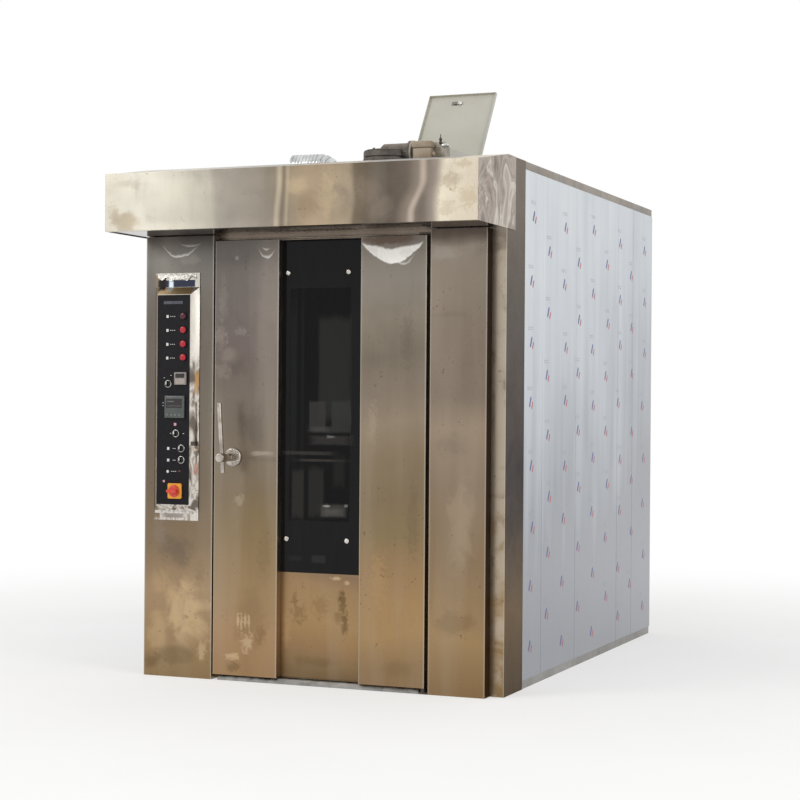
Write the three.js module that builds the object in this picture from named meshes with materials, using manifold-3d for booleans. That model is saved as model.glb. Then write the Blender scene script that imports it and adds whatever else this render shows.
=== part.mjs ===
// Rotating rack oven: an insulated cabinet with a canopy, a windowed door on pivots, a rack carrier
// that turns under a gear motor on the roof, and a hot-air plant behind the baking chamber.
// Millimetres. +Z is up, the door faces -Y, and the origin is on the floor under the middle of
// the whole footprint. Depths are counted from the plane of the front frame, positive to the rear.
import * as THREE from "three";
import { mergeVertices } from "three/addons/utils/BufferGeometryUtils.js";
import Module from "manifold-3d";

const wasm = await Module();
wasm.setup();

// ---------------------------------------------------------------- driving dimensions
const fitGap = 0.3;                // between pieces that touch
const runGap = 0.4;                // round a shaft or pin that turns
const sheet = 3;                   // outer sheet metal

const cabinetWidth = 1660;
const cabinetDepth = 2317;
const cabinetHeight = 2200;
const cornerReturn = 230;          // how far the front frame wraps round each side
const rimHeight = 35;              // raised edge round the roof
const panelLip = 25;               // inward return at each end of a side panel
const sideSeamDepths = [476, 971, 1669, 1948];
const seamWidth = 5;
const seamGroove = 1.5;

const baseHeight = 36;
const baseRail = 60;
const rimWidth = 40;
const deckSink = 118;              // top of the roof deck, below the top of the cabinet
const deckSheet = 3;

const doorwayLeft = -445;
const doorwayRight = 480;
const doorwayLap = 23;             // of the door over the head of the doorway
const sillHeight = 20;
const sillRun = 54;
const sillNose = 8;

const doorLeft = -468;
const doorRight = 505;
const doorBottom = 24;
const doorHeadGap = 25;            // under the canopy
const leftStileWidth = 303;
const rightStileWidth = 294;
const doorProud = 60;              // front of the stiles and columns ahead of the front frame
const doorCoreFront = 15.7;        // front of the insulated core ahead of the front frame
const doorFlangeBack = 8.3;
const plugReach = 60;              // how far the core reaches into the doorway
const plugSideGap = 9;
const plugTopGap = 6;
const plugBottom = 46;
const panelPitchTop = 470;         // top of the lower centre panel, bottom of the outer glass
const glassThickness = 5;
const glassSideGap = 0.5;
const windowLeft = -130;
const windowRight = 150;
const windowBottom = 690;
const windowHead = 205;            // below the top of the door
const rebate = 15;                 // seat of the inner glass round the window
const rebateDepth = 8;
const innerGlassThickness = 6;
const standoffX = [-139, 140];
const standoffLow = 611;
const standoffHeadDrop = 139;      // upper studs below the top of the door
const standoffHead = 11;
const standoffShank = 4;
const gasketWidth = 16;
const gasketInset = 2;

const pivotX = 495;
const pivotAhead = 45;
const pivotPin = 7;
const pivotPlateWidth = 50;
const pivotPlateSheet = 8;
const pivotPinReach = 20;

const columnLip = 20;
const leftColumnInset = 25;        // outer edges of the columns, in from the sides of the cabinet
const rightColumnInset = 62;
const leftColumnInner = -474;
const rightColumnInner = 520;

const handleX = -377;
const handleZ = 953;
const spindleRadius = 11;
const handleReach = 99;            // bar axis ahead of the stile
const collarRadius = 20;
const collarLength = 52;
const neckRadius = 13;
const hubRadius = 17;
const hubLength = 34;
const barRadius = 8.5;
const barAbove = 232;
const barBelow = 65;
const barLean = 3.8;                // degrees, top towards the column
const rosetteRadius = 40;
const rosetteThickness = 9;
const rosetteNutRadius = 6;
const rosetteNutCircle = 30;
const rosetteNutCount = 6;
const latchReach = 109;
const latchWidth = 20;
const latchThickness = 8;
const latchSlotClearance = 7;

const hoodDepth = 360;
const hoodDrop = 300;              // lower edge below the top of the cabinet
const hoodFall = 60;               // front edge below the top of the cabinet
const hoodWrap = 95;               // how far the side plates lap over the cabinet
const hoodFlange = 24;
const hoodBead = 7;
const undersideSheet = 2;
const grilleSlot = 8;
const grilleSlotLength = 90;
const grillePitch = 26;
const grilleSlots = 15;
const grilleFrontEdge = 165;       // slots start this far ahead of the front frame

const chamberCentreX = 18;
const chamberHalfWidth = 680;
const chamberFront = 70;
const roofInsulation = 122;        // from the chamber to the roof deck
const linerSheet = 4;
const baffleDepth = 1290;
const rearInsulation = 217;        // from the plenum to the back of the cabinet
const rotorDepth = 675;
const baffleInlet = 210;
const baffleCollar = 30;
const louvreHead = 240;            // least distance of the top louvres from the ceiling
const louvrePitch = 148;
const louvreLow = 200;
const louvreLength = 230;
const louvreSlot = 34;
const louvreFlap = 26;
const louvreFlapSheet = 3;
const louvreAngle = 35;
const louvreInset = 70;

const heaterRows = 6;
const heaterLow = 560;
const heaterPitch = 150;
const heaterTube = 9;
const heaterBend = 60;
const heaterFlangeDepth = 280;
const heaterFlangeSheet = 6;
const heaterReach = 1100;
const cascadeRows = 5;
const cascadeLow = 80;
const cascadePitch = 70;
const cascadeWidth = 760;
const cascadeGutter = 60;
const cascadeWall = 4;

const fanRadius = 240;
const fanEye = 150;
const fanHeight = 110;
const fanPlate = 4;
const fanBlades = 10;
const fanHead = 60;                // below the ceiling
const fanShaft = 20;
const fanMotorRadius = 95;
const fanMotorHeight = 215;
const fanMotorFlange = 130;
const fanMotorFoot = 12;
const fanCowl = 50;
const fanCowlDome = 14;
const fanMotorFins = 20;
const fanMotorFin = 7;

const ductX = -244;
const ductDepth = 650;
const ductRadius = 55;
const ductRib = 4;
const ductWall = 3;
const ductRise = 132;
const ductBend = 62;
const ductRun = 130;
const ductPitch = 22;

const rotorShaft = 25;
const rotorShaftDrop = 34;         // its end below the top of the gear unit
const bearingRise = 123;           // above the deck
const bearingBody = 70;
const bearingFlange = 100;
const bearingFlangeSheet = 14;
const gearRadius = 113;
const gearRise = 252;              // above the deck
const gearGroove = 7;
const gearLayers = 4;
const inputRadius = 48;
const inputDrop = 16;              // its axis below the top of the gear unit
const inputLeft = -10;
const inputRight = 145;
const motorRadius = 46;
const motorLength = 165;
const motorFins = 16;
const motorFinDepth = 5;
const terminalLeft = 175;
const terminalWidth = 94;
const terminalDepth = 48;
const terminalDrop = 47;           // below the motor's axis
const terminalHeight = 89;
const terminalCover = 31;
const terminalSaddle = 12;

const carrierHub = 60;
const carrierHead = 55;            // hub below the ceiling
const carrierBeamDrop = 25;        // beam below the top of the hub
const carrierSpan = 420;
const carrierBeam = 60;
const carrierWidth = 90;
const hookDrop = 80;
const hookToe = 70;
const hookSheet = 14;

const enclosureLeft = -60;
const enclosureWidth = 340;
const enclosureLength = 400;
const enclosureHeight = 150;
const enclosureBackDepth = 1192;
const enclosureRise = 119;         // above the deck
const enclosureSheet = 2;
const enclosureFlange = 15;
const lidFold = 14;
const lidOpen = 123;               // degrees back from closed, where it leans on its stop
const lidPlay = 1.5;
const hingeBarrel = 4;
const hingeOffset = 8;
const hingeLug = 30;
const lockRadius = 9;
const lockFromEdge = 45;
const lockFromLeft = 162;
const tongueReach = 38;
const tongueWidth = 14;
const tongueSheet = 3;
const legWidth = 30;
const legSheet = 4;
const glandRadius = 14;
const glandLength = 22;
const glandFromBack = 70;
const glandAbove = 60;

const panelLeft = -756;
const panelWidth = 216;
const panelHead = 157;             // below the canopy
const panelHeight = 1067;
const bezelHead = 62;
const bezelFoot = 35;
const bezelRise = 36;
const bezelSideRun = 26;
const bezelEndRun = 32;
const bezelWall = 3;
const fasciaSheet = 3;
const buttonX = -600;
const buttonDrops = [126, 185, 245, 303];   // below the top of the bezel, as for all controls
const buttonRadius = 14;
const buttonProud = 11;
const buttonLength = 44;
const buttonDome = 3;
const guardRing = 3;
const guardHeight = 4;
const selectorPlaces = [[-673, 417], [-634, 630], [-607, 694], [-607, 743]];
const selectorRadius = 12;
const selectorProud = 9;
const selectorGrip = 11;
const selectorGripWidth = 7;
const timerPlace = [-611, 394];
const timerSize = [58, 54];
const controllerPlace = [-638, 516];
const controllerSize = [96, 96];
const instrumentProud = 9;
const instrumentLength = 66;
const instrumentLip = 4;
const switchPlace = [-635, 877];
const switchPlateSize = 66;
const switchPlateSheet = 8;
const switchKnobRadius = 25;
const switchKnobProud = 26;
const switchGripWidth = 15;
const switchStem = 6;

// ---------------------------------------------------------------- places worked out from them
const coverSheet = 3;              // bolted cover on the back
const coverWidth = 760;
const coverHeight = 900;
const coverBottom = 420;
const coverLap = 25;
const panelTop = cabinetHeight - rimHeight;
const deckLevel = cabinetHeight - deckSink;
const hoodBottom = cabinetHeight - hoodDrop;
const hoodFrontTop = cabinetHeight - hoodFall;
const doorTop = hoodBottom - doorHeadGap;
const doorwayTop = doorTop - doorwayLap;
const windowTop = doorTop - windowHead;
const standoffZ = [standoffLow, doorTop - standoffHeadDrop];
const chamberTop = deckLevel - roofInsulation;
const plenumBack = cabinetDepth - rearInsulation;
const louvreRows = Math.floor((chamberTop - louvreHead - louvreLow) / louvrePitch) + 1;
const fanTop = chamberTop - fanHead;
const carrierHubTop = chamberTop - carrierHead;
const carrierBeamTop = carrierHubTop - carrierBeamDrop;
const bearingTop = deckLevel + bearingRise;
const gearTop = deckLevel + gearRise;
const rotorShaftTop = gearTop - rotorShaftDrop;
const inputLevel = gearTop - inputDrop;
const terminalBottom = inputLevel - terminalDrop;
const enclosureBottom = deckLevel + enclosureRise;
const panelHigh = hoodBottom - panelHead;
const panelLow = panelHigh - panelHeight;
const bezelHigh = panelHigh - bezelHead;
const bezelLow = panelLow + bezelFoot;
const belowBezelTop = ([x, drop]) => [x, bezelHigh - drop];
const buttonZ = buttonDrops.map((drop) => bezelHigh - drop);
const selectorSpots = selectorPlaces.map(belowBezelTop);
const timerSpot = belowBezelTop(timerPlace);
const controllerSpot = belowBezelTop(controllerPlace);
const switchSpot = belowBezelTop(switchPlace);
const overallBack = cabinetDepth + fitGap + coverSheet;
const frontPlane = -(overallBack - hoodDepth) / 2;
const atDepth = (depth) => frontPlane + depth;
const halfWidth = cabinetWidth / 2;
const innerHalf = halfWidth - sheet - fitGap;
const leftColumnOuter = leftColumnInset - halfWidth;
const rightColumnOuter = halfWidth - rightColumnInset;
const pivotY = atDepth(-pivotAhead);
const stileFront = atDepth(-doorProud);
const chamberLeft = chamberCentreX - chamberHalfWidth;
const chamberRight = chamberCentreX + chamberHalfWidth;
const panelBottom = baseHeight + fitGap;
const linerBottom = baseHeight + fitGap;
const chamberFloor = linerBottom + linerSheet;
const rotorY = atDepth(rotorDepth);
const fanDepth = (baffleDepth + plenumBack) / 2;
const fanY = atDepth(fanDepth);
const ductY = atDepth(ductDepth);

// ---------------------------------------------------------------- finishes
const finish = (color, roughness, metalness) =>
  new THREE.MeshStandardMaterial({ color, roughness, metalness });
const stainless = finish(0x9c948a, 0.32, 1);
const polished = finish(0xd8d6d2, 0.12, 1);
const filmed = finish(0xc9ced3, 0.35, 0);
const galvanised = finish(0xa9adb0, 0.5, 0.9);
const mineralWool = finish(0x9a9468, 0.95, 0);
const ironGrey = finish(0x55524f, 0.6, 0.6);
const enamelGrey = finish(0xc0bdb0, 0.45, 0);
const blackPanel = finish(0x15161a, 0.4, 0);
const darkGlass = finish(0x101113, 0.05, 0);
const rubber = finish(0x2c2a28, 0.8, 0);
const redCap = finish(0xc42433, 0.3, 0);
const yellowPlate = finish(0xf2a51d, 0.4, 0);
const foil = finish(0xc9c9c9, 0.25, 1);

// ---------------------------------------------------------------- shape tools
// Solid from a closed geometry; triangles that collapse when vertices merge are dropped.
function solid(geometry) {
  const bare = geometry.index ? geometry.clone() : geometry;
  bare.deleteAttribute("normal");
  bare.deleteAttribute("uv");
  const merged = mergeVertices(bare, 1e-4);
  const corners = merged.index.array;
  const kept = [];
  for (let i = 0; i < corners.length; i += 3) {
    const [a, b, c] = [corners[i], corners[i + 1], corners[i + 2]];
    if (a !== b && b !== c && c !== a) kept.push(a, b, c);
  }
  return new wasm.Manifold(new wasm.Mesh({
    numProp: 3,
    vertProperties: Float32Array.from(merged.attributes.position.array),
    triVerts: Uint32Array.from(kept),
  }));
}

const join = (first, ...rest) => rest.reduce((sum, piece) => sum.add(piece), first);
const cut = (first, ...rest) => rest.reduce((left, piece) => left.subtract(piece), first);

function geometryOf(body) {
  const mesh = body.getMesh();
  const geometry = new THREE.BufferGeometry();
  geometry.setAttribute("position", new THREE.BufferAttribute(Float32Array.from(mesh.vertProperties), 3));
  geometry.setIndex(new THREE.BufferAttribute(Uint32Array.from(mesh.triVerts), 1));
  geometry.computeVertexNormals();
  return geometry;
}

// Block between two corners.
function block([x0, y0, z0], [x1, y1, z1]) {
  const box = new THREE.BoxGeometry(x1 - x0, y1 - y0, z1 - z0);
  box.translate((x0 + x1) / 2, (y0 + y1) / 2, (z0 + z1) / 2);
  return solid(box);
}

// An outline and its holes, pushed along an axis: outlines are (x, y), (x, z) or (y, z) points.
const axisBasis = {
  x: [new THREE.Vector3(0, 1, 0), new THREE.Vector3(0, 0, 1), new THREE.Vector3(1, 0, 0)],
  y: [new THREE.Vector3(1, 0, 0), new THREE.Vector3(0, 0, 1), new THREE.Vector3(0, -1, 0)],
  z: [new THREE.Vector3(1, 0, 0), new THREE.Vector3(0, 1, 0), new THREE.Vector3(0, 0, 1)],
};

function prism(axis, outline, from, to, holes = []) {
  const asPoints = (list) => list.map(([u, v]) => new THREE.Vector2(u, v));
  const shape = new THREE.Shape(asPoints(outline));
  shape.holes = holes.map((hole) => new THREE.Path(asPoints(hole)));
  const geometry = new THREE.ExtrudeGeometry(shape, { depth: to - from, bevelEnabled: false });
  geometry.applyMatrix4(new THREE.Matrix4().makeBasis(...axisBasis[axis]));
  const shift = { x: [from, 0, 0], y: [0, to, 0], z: [0, 0, from] }[axis];
  geometry.translate(...shift);
  return solid(geometry);
}

const rectangle = (u0, u1, v0, v1) => [[u0, v0], [u1, v0], [u1, v1], [u0, v1]];

function circle(cu, cv, radius, sides = 20) {
  return Array.from({ length: sides }, (_, i) => {
    const turn = (2 * Math.PI * i) / sides;
    return [cu + radius * Math.cos(turn), cv + radius * Math.sin(turn)];
  });
}

// A closed profile of (radius, height) points turned round an axis through a place.
const turnTo = {
  x: new THREE.Matrix4().makeRotationZ(-Math.PI / 2),
  y: new THREE.Matrix4(),
  z: new THREE.Matrix4().makeRotationX(Math.PI / 2),
};

function turned(axis, profile, [x, y, z], sides = 20) {
  const points = profile.map(([radius, height]) => new THREE.Vector2(radius, height));
  const lathe = new THREE.LatheGeometry([...points, points[0]], sides);
  lathe.applyMatrix4(turnTo[axis]);
  lathe.translate(x, y, z);
  return solid(lathe);
}

// Round bar along an axis between two heights.
const rod = (axis, radius, from, to, place, sides = 20) =>
  turned(axis, [[0, from], [radius, from], [radius, to], [0, to]], place, sides);

// Bent channel in plan: a web from a to b, returns towards the inside, and lips at their ends.
function channel(a, b, returnDepth, lip, wall) {
  return [[a, 0], [b, 0], [b, returnDepth], [b - lip, returnDepth], [b - lip, returnDepth - wall],
    [b - wall, returnDepth - wall], [b - wall, wall], [a + wall, wall],
    [a + wall, returnDepth - wall], [a + lip, returnDepth - wall], [a + lip, returnDepth],
    [a, returnDepth]];
}

const oven = new THREE.Group();

function add(name, body, material, parent = oven) {
  const mesh = new THREE.Mesh(geometryOf(body), material);
  mesh.name = name;
  parent.add(mesh);
}

// ---------------------------------------------------------------- cabinet
// Welded floor frame with two cross rails and the ramped sill under the door.
function baseFrame() {
  const near = atDepth(sheet + fitGap);
  const far = atDepth(cabinetDepth - sheet - fitGap);
  const bays = 3;
  const bay = (far - near - (bays + 1) * baseRail) / bays;
  const pockets = Array.from({ length: bays }, (_, i) => {
    const start = near + baseRail + i * (bay + baseRail);
    return rectangle(-innerHalf + baseRail, innerHalf - baseRail, start, start + bay);
  });
  const frame = prism("z", rectangle(-innerHalf, innerHalf, near, far), 0, baseHeight, pockets);
  const sill = prism("x", [
    [atDepth(-doorProud + 2), 0],
    [near + 1, 0],
    [near + 1, baseHeight],
    [near, baseHeight],
    [atDepth(-fitGap), sillHeight],
    [atDepth(-doorProud + 2 + sillHeight - sillNose), sillHeight],
    [atDepth(-doorProud + 2), sillNose],
  ], doorwayLeft + fitGap, doorwayRight - fitGap);
  return frame.add(sill);
}

// Stainless portal: the front face round the doorway, wrapped round both corners.
function frontFrame() {
  const near = frontPlane;
  const far = atDepth(cornerReturn);
  const plan = [[-halfWidth, near], [halfWidth, near], [halfWidth, far], [halfWidth - sheet, far],
    [halfWidth - sheet, near + sheet], [-halfWidth + sheet, near + sheet], [-halfWidth + sheet, far],
    [-halfWidth, far]];
  const doorway = block([doorwayLeft, near - 1, -1], [doorwayRight, near + sheet + 1, doorwayTop]);
  return prism("z", plan, 0, cabinetHeight).subtract(doorway);
}

// Bent cover beside the door, open at the back where it meets the front frame.
function column(inner, outer) {
  const plan = channel(inner, outer, doorProud - fitGap, columnLip, sheet)
    .map(([x, depth]) => [x, stileFront + depth]);
  return prism("z", plan, 0, hoodBottom - fitGap);
}

const bezelLeft = panelLeft;
const bezelRight = panelLeft + panelWidth;
const fasciaLeft = bezelLeft + bezelSideRun + bezelWall;
const fasciaRight = bezelRight - bezelSideRun - bezelWall;
const fasciaLow = bezelLow + bezelEndRun + bezelWall;
const fasciaHigh = bezelHigh - bezelEndRun - bezelWall;
const latchAhead = doorProud - sheet - 12;   // rear face of the latch tongue, ahead of the frame

function latchSlot(x0, x1) {
  const low = handleZ - Math.sqrt(latchReach ** 2 - (handleX - doorLeft) ** 2) - latchWidth;
  const high = handleZ + latchWidth / 2 + latchSlotClearance;
  return block([x0, atDepth(-latchAhead - latchThickness - 2), low], [x1, atDepth(-latchAhead + 2), high]);
}

function leftColumn() {
  const opening = block([fasciaLeft + 2, stileFront - 1, fasciaLow + 2],
    [fasciaRight - 2, stileFront + sheet + 1, fasciaHigh - 2]);
  const keeper = latchSlot(leftColumnInner - sheet - 1, leftColumnInner + 1);
  return cut(column(leftColumnOuter, leftColumnInner), opening, keeper);
}

// Side panel: a bent pan whose outer face carries shallow joints between its sheets.
function sidePanel(side) {
  const near = atDepth(cornerReturn + fitGap);
  const far = atDepth(cabinetDepth - sheet - fitGap);
  const plan = channel(near, far, panelLip, panelLip, sheet)
    .map(([y, inward]) => [side * (halfWidth - inward), y]);
  const outline = side > 0 ? plan : plan.reverse();
  const seams = sideSeamDepths.map((depth) => {
    const y = atDepth(depth);
    const face = side * halfWidth;
    const floor = side * (halfWidth - seamGroove);
    const notch = [[face + side, y - seamWidth / 2], [face + side, y + seamWidth / 2],
      [face, y + seamWidth / 2], [floor, y], [face, y - seamWidth / 2]];
    return prism("z", side > 0 ? notch : notch.reverse(), panelBottom - 1, panelTop + 1);
  });
  return cut(prism("z", outline, panelBottom, panelTop), ...seams);
}

function rearPanel() {
  const middle = (coverWidth - 2 * coverLap) / 2;
  const window = rectangle(-middle, middle, coverBottom + coverLap, coverBottom + coverHeight - coverLap);
  return prism("y", rectangle(-halfWidth, halfWidth, panelBottom, panelTop),
    atDepth(cabinetDepth - sheet), atDepth(cabinetDepth), [window]);
}

function rearCover() {
  const plate = rectangle(-coverWidth / 2, coverWidth / 2, coverBottom, coverBottom + coverHeight);
  return prism("y", plate, atDepth(cabinetDepth + fitGap), atDepth(overallBack));
}

// Raised rim of the roof, standing on the panels round the sunk deck.
function roofRim() {
  const near = atDepth(sheet + fitGap);
  const far = atDepth(cabinetDepth);
  const opening = rectangle(-innerHalf + rimWidth, innerHalf - rimWidth, near + rimWidth, far - rimWidth);
  const outline = rectangle(-innerHalf, innerHalf, near, far);
  return prism("z", outline, panelTop + fitGap, cabinetHeight, [opening]);
}

const deckHalf = halfWidth - panelLip - 2 * fitGap;
const shaftHole = circle(chamberCentreX, rotorY, rotorShaft + 4);
const fanHole = circle(chamberCentreX, fanY, fanShaft + 6);
const ventHole = circle(ductX, ductY, ductRadius - ductRib - ductWall - 2);

function roofDeck() {
  return prism("z", rectangle(-deckHalf, deckHalf, atDepth(sheet + 1), atDepth(cabinetDepth - 4)),
    deckLevel - deckSheet, deckLevel, [shaftHole, fanHole, ventHole]);
}

// ---------------------------------------------------------------- hot side
// Welded liner: the baking chamber with the hot-air plenum behind it, and the doorway's neck.
function linerOutline(grow) {
  const room = block([chamberLeft - grow, atDepth(chamberFront) - grow, chamberFloor - grow],
    [chamberRight + grow, atDepth(plenumBack) + grow, chamberTop + grow]);
  const neck = block([doorwayLeft - grow, atDepth(sheet + fitGap), chamberFloor - grow],
    [doorwayRight + grow, atDepth(chamberFront) + 1, doorwayTop + grow]);
  return room.add(neck);
}

function chamberLiner() {
  const through = block([doorwayLeft, atDepth(0), chamberFloor],
    [doorwayRight, atDepth(chamberFront) + 2, doorwayTop]);
  const holes = [shaftHole, fanHole, ventHole].map((hole) =>
    prism("z", hole, chamberTop - 1, chamberTop + linerSheet + 1));
  const room = block([chamberLeft, atDepth(chamberFront), chamberFloor],
    [chamberRight, atDepth(plenumBack), chamberTop]);
  return cut(linerOutline(linerSheet), room, through, ...holes);
}

function insulation() {
  const jacket = block([-deckHalf, atDepth(sheet + fitGap), baseHeight + fitGap],
    [deckHalf, atDepth(cabinetDepth - sheet - 5), deckLevel - deckSheet - fitGap]);
  const mouth = block([doorwayLeft - linerSheet - fitGap, atDepth(0), 0],
    [doorwayRight + linerSheet + fitGap, atDepth(chamberFront), doorwayTop + linerSheet + fitGap]);
  const holes = [shaftHole, fanHole, ventHole].map((hole) => prism("z", hole, chamberTop, deckLevel));
  const under = block([chamberLeft, atDepth(chamberFront), 0],
    [chamberRight, atDepth(plenumBack), linerBottom + 1]);
  return cut(jacket, linerOutline(linerSheet + fitGap), mouth, under, ...holes);
}

// Wall between the chamber and the plenum: a round return inlet and two banks of bent louvres.
function airBaffle() {
  const front = atDepth(baffleDepth);
  const middleZ = (chamberFloor + chamberTop) / 2;
  let wall = prism("y", rectangle(chamberLeft + fitGap, chamberRight - fitGap, chamberFloor + fitGap,
    chamberTop - fitGap), front, front + sheet, [circle(chamberCentreX, middleZ, baffleInlet, 28)]);
  wall = wall.add(turned("y", [[baffleInlet, 0], [baffleInlet + sheet, 0],
    [baffleInlet + sheet, baffleCollar], [baffleInlet, baffleCollar]],
  [chamberCentreX, front, middleZ], 28));
  const lean = THREE.MathUtils.degToRad(louvreAngle);
  for (const start of [chamberLeft + louvreInset, chamberRight - louvreInset - louvreLength]) {
    for (let row = 0; row < louvreRows; row += 1) {
      const low = louvreLow + row * louvrePitch;
      const slot = block([start, front - 1, low],
        [start + louvreLength, front + sheet + 1, low + louvreSlot]);
      const flap = prism("x", [[0, 0], [-louvreFlap * Math.cos(lean), -louvreFlap * Math.sin(lean)],
        [-louvreFlap * Math.cos(lean), louvreFlapSheet - louvreFlap * Math.sin(lean)],
        [0, louvreFlapSheet], [sheet, louvreFlapSheet], [sheet, 0]]
        .map(([y, z]) => [front + y, low + louvreSlot + z]), start, start + louvreLength);
      wall = wall.subtract(slot).add(flap);
    }
  }
  return wall;
}

// Tubular heaters: hairpins brazed into one flange on the right wall of the plenum.
function heaterBank() {
  const back = chamberRight - fitGap;
  const face = back - heaterFlangeSheet;
  const middleY = atDepth((baffleDepth + fanDepth) / 2);
  const plate = block([face, middleY - heaterFlangeDepth / 2, heaterLow - heaterPitch / 2],
    [back, middleY + heaterFlangeDepth / 2, heaterLow + (heaterRows - 0.5) * heaterPitch]);
  const tip = face - heaterReach;
  const hairpins = Array.from({ length: heaterRows }, (_, row) => {
    const z = heaterLow + row * heaterPitch;
    const arc = new THREE.Shape(circle(0, 0, heaterTube, 6).map(([u, v]) => new THREE.Vector2(u, v)));
    class Bend extends THREE.Curve {
      getPoint(t, target = new THREE.Vector3()) {
        const angle = Math.PI / 2 + Math.PI * t;
        return target.set(tip + heaterBend * Math.cos(angle), middleY + heaterBend * Math.sin(angle), z);
      }
    }
    const turn = solid(new THREE.ExtrudeGeometry(arc, { steps: 8, extrudePath: new Bend() }));
    const legs = [-1, 1].map((side) =>
      rod("x", heaterTube, tip - 0.5, face + 1, [0, middleY + side * heaterBend, z], 6));
    return join(turn, ...legs);
  });
  return join(plate, ...hairpins);
}

// Steam maker: sloping gutters between two end plates, one over the other.
function steamCascade() {
  const left = chamberCentreX - cascadeWidth / 2;
  const right = chamberCentreX + cascadeWidth / 2;
  const near = atDepth(plenumBack - 40 - 2 * cascadeGutter);
  const ends = [left, right - cascadeWall].map((x) =>
    block([x, near, chamberFloor + fitGap],
      [x + cascadeWall, near + 2 * cascadeGutter, cascadeLow + cascadeRows * cascadePitch]));
  const gutters = Array.from({ length: cascadeRows }, (_, row) => {
    const z = cascadeLow + row * cascadePitch;
    const y = near + cascadeGutter / 2 + (row % 2) * cascadeGutter / 2;
    const side = cascadeGutter / 2;
    return prism("x", [[y, z + side], [y + cascadeWall, z], [y + cascadeGutter - cascadeWall, z],
      [y + cascadeGutter, z + side], [y + cascadeGutter - cascadeWall, z + side],
      [y + cascadeGutter - 2 * cascadeWall, z + cascadeWall], [y + 2 * cascadeWall, z + cascadeWall],
      [y + cascadeWall, z + side]], left, right);
  });
  return join(...ends, ...gutters);
}

// Backward-curved blower wheel on its shaft, hung through the roof of the plenum.
function fanWheel() {
  const low = fanTop - fanHeight;
  const place = [chamberCentreX, fanY, 0];
  const backPlate = prism("z", circle(chamberCentreX, fanY, fanRadius, 28), fanTop - fanPlate, fanTop);
  const shroud = prism("z", circle(chamberCentreX, fanY, fanRadius, 28), low, low + fanPlate,
    [circle(chamberCentreX, fanY, fanEye, 24)]);
  const hub = rod("z", fanShaft * 2, low + fanHeight / 2, fanTop, place);
  const shaft = rod("z", fanShaft, fanTop - fanPlate, deckLevel + fanMotorHeight / 4, place);
  const bladeArc = (radius, side) => Array.from({ length: 5 }, (_, i) => {
    const angle = (0.62 + (1.1 * i) / 4);
    return [-radius * Math.cos(angle) * 0.9 + side, radius * Math.sin(angle)];
  });
  const innerStart = fanEye + 8;
  const blade = [...bladeArc(fanEye, 0), ...bladeArc(fanEye - 4, 0).reverse()]
    .map(([u, v]) => [u + innerStart + 0.45 * fanEye, v - 0.62 * fanEye]);
  const blades = Array.from({ length: fanBlades }, (_, i) => {
    const turn = (2 * Math.PI * i) / fanBlades;
    const outline = blade.map(([u, v]) => [
      chamberCentreX + u * Math.cos(turn) - v * Math.sin(turn),
      fanY + u * Math.sin(turn) + v * Math.cos(turn)]);
    return prism("z", outline, low + 1, fanTop - 1);
  });
  const rim = prism("z", circle(chamberCentreX, fanY, fanRadius, 28), low, fanTop);
  return join(backPlate, shroud, hub, shaft, ...blades.map((piece) => piece.intersect(rim)));
}

// A round body with cooling fins along its axis, as a closed outline.
function finned(cu, cv, radius, fin, count) {
  return Array.from({ length: count * 4 }, (_, i) => {
    const turn = (2 * Math.PI * (i + 0.5)) / (count * 4);
    const reach = i % 4 < 2 ? radius : radius - fin;
    return [cu + reach * Math.cos(turn), cv + reach * Math.sin(turn)];
  });
}

function fanMotor() {
  const foot = deckLevel + fitGap;
  const place = [chamberCentreX, fanY, foot];
  const cowlFoot = fanMotorHeight - fanCowl;
  const cowlRadius = fanMotorRadius + fanMotorFin / 2;
  const flange = rod("z", fanMotorFlange, 0, fanMotorFoot, place, 28);
  const body = prism("z", finned(chamberCentreX, fanY, fanMotorRadius, fanMotorFin, fanMotorFins),
    foot + fanMotorFoot / 2, foot + cowlFoot + fanMotorFin);
  const cowl = turned("z", [[0, cowlFoot], [cowlRadius, cowlFoot],
    [cowlRadius, fanMotorHeight - fanCowlDome], [fanMotorRadius - fanCowlDome, fanMotorHeight],
    [0, fanMotorHeight]], place, 28);
  const bore = rod("z", fanShaft + runGap, -1, fanMotorHeight / 4 + 2, place);
  return join(flange, body, cowl).subtract(bore);
}

// ---------------------------------------------------------------- canopy
// Folded canopy: front and sloping top from one bent sheet, a side plate welded to each end.
function hoodShell() {
  const outer = halfWidth + fitGap + sheet;
  const nose = atDepth(-hoodDepth);
  const back = atDepth(-fitGap);
  const slope = (cabinetHeight - hoodFrontTop) / (hoodDepth - fitGap);
  const roofAt = (y) => hoodFrontTop + (y - nose) * slope;
  const sheetProfile = [
    [nose, hoodBottom], [nose + hoodFlange, hoodBottom], [nose + hoodFlange, hoodBottom + sheet],
    [nose + sheet, hoodBottom + sheet], [nose + sheet, hoodFrontTop - sheet],
    [back, cabinetHeight - sheet], [back, cabinetHeight],
    [nose + hoodBead, roofAt(nose + hoodBead)], [nose + hoodBead, hoodFrontTop + hoodBead / 2],
    [nose, hoodFrontTop + hoodBead / 2]];
  const bent = prism("x", sheetProfile, -outer + sheet - 0.5, outer - sheet + 0.5);
  const sideProfile = [[nose, hoodBottom], [atDepth(hoodWrap), hoodBottom],
    [atDepth(hoodWrap), cabinetHeight], [back, cabinetHeight], [nose, hoodFrontTop]];
  const sides = [[-outer, -outer + sheet], [outer - sheet, outer]].map(([from, to]) =>
    prism("x", sideProfile, from, to));
  return join(bent, ...sides);
}

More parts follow.
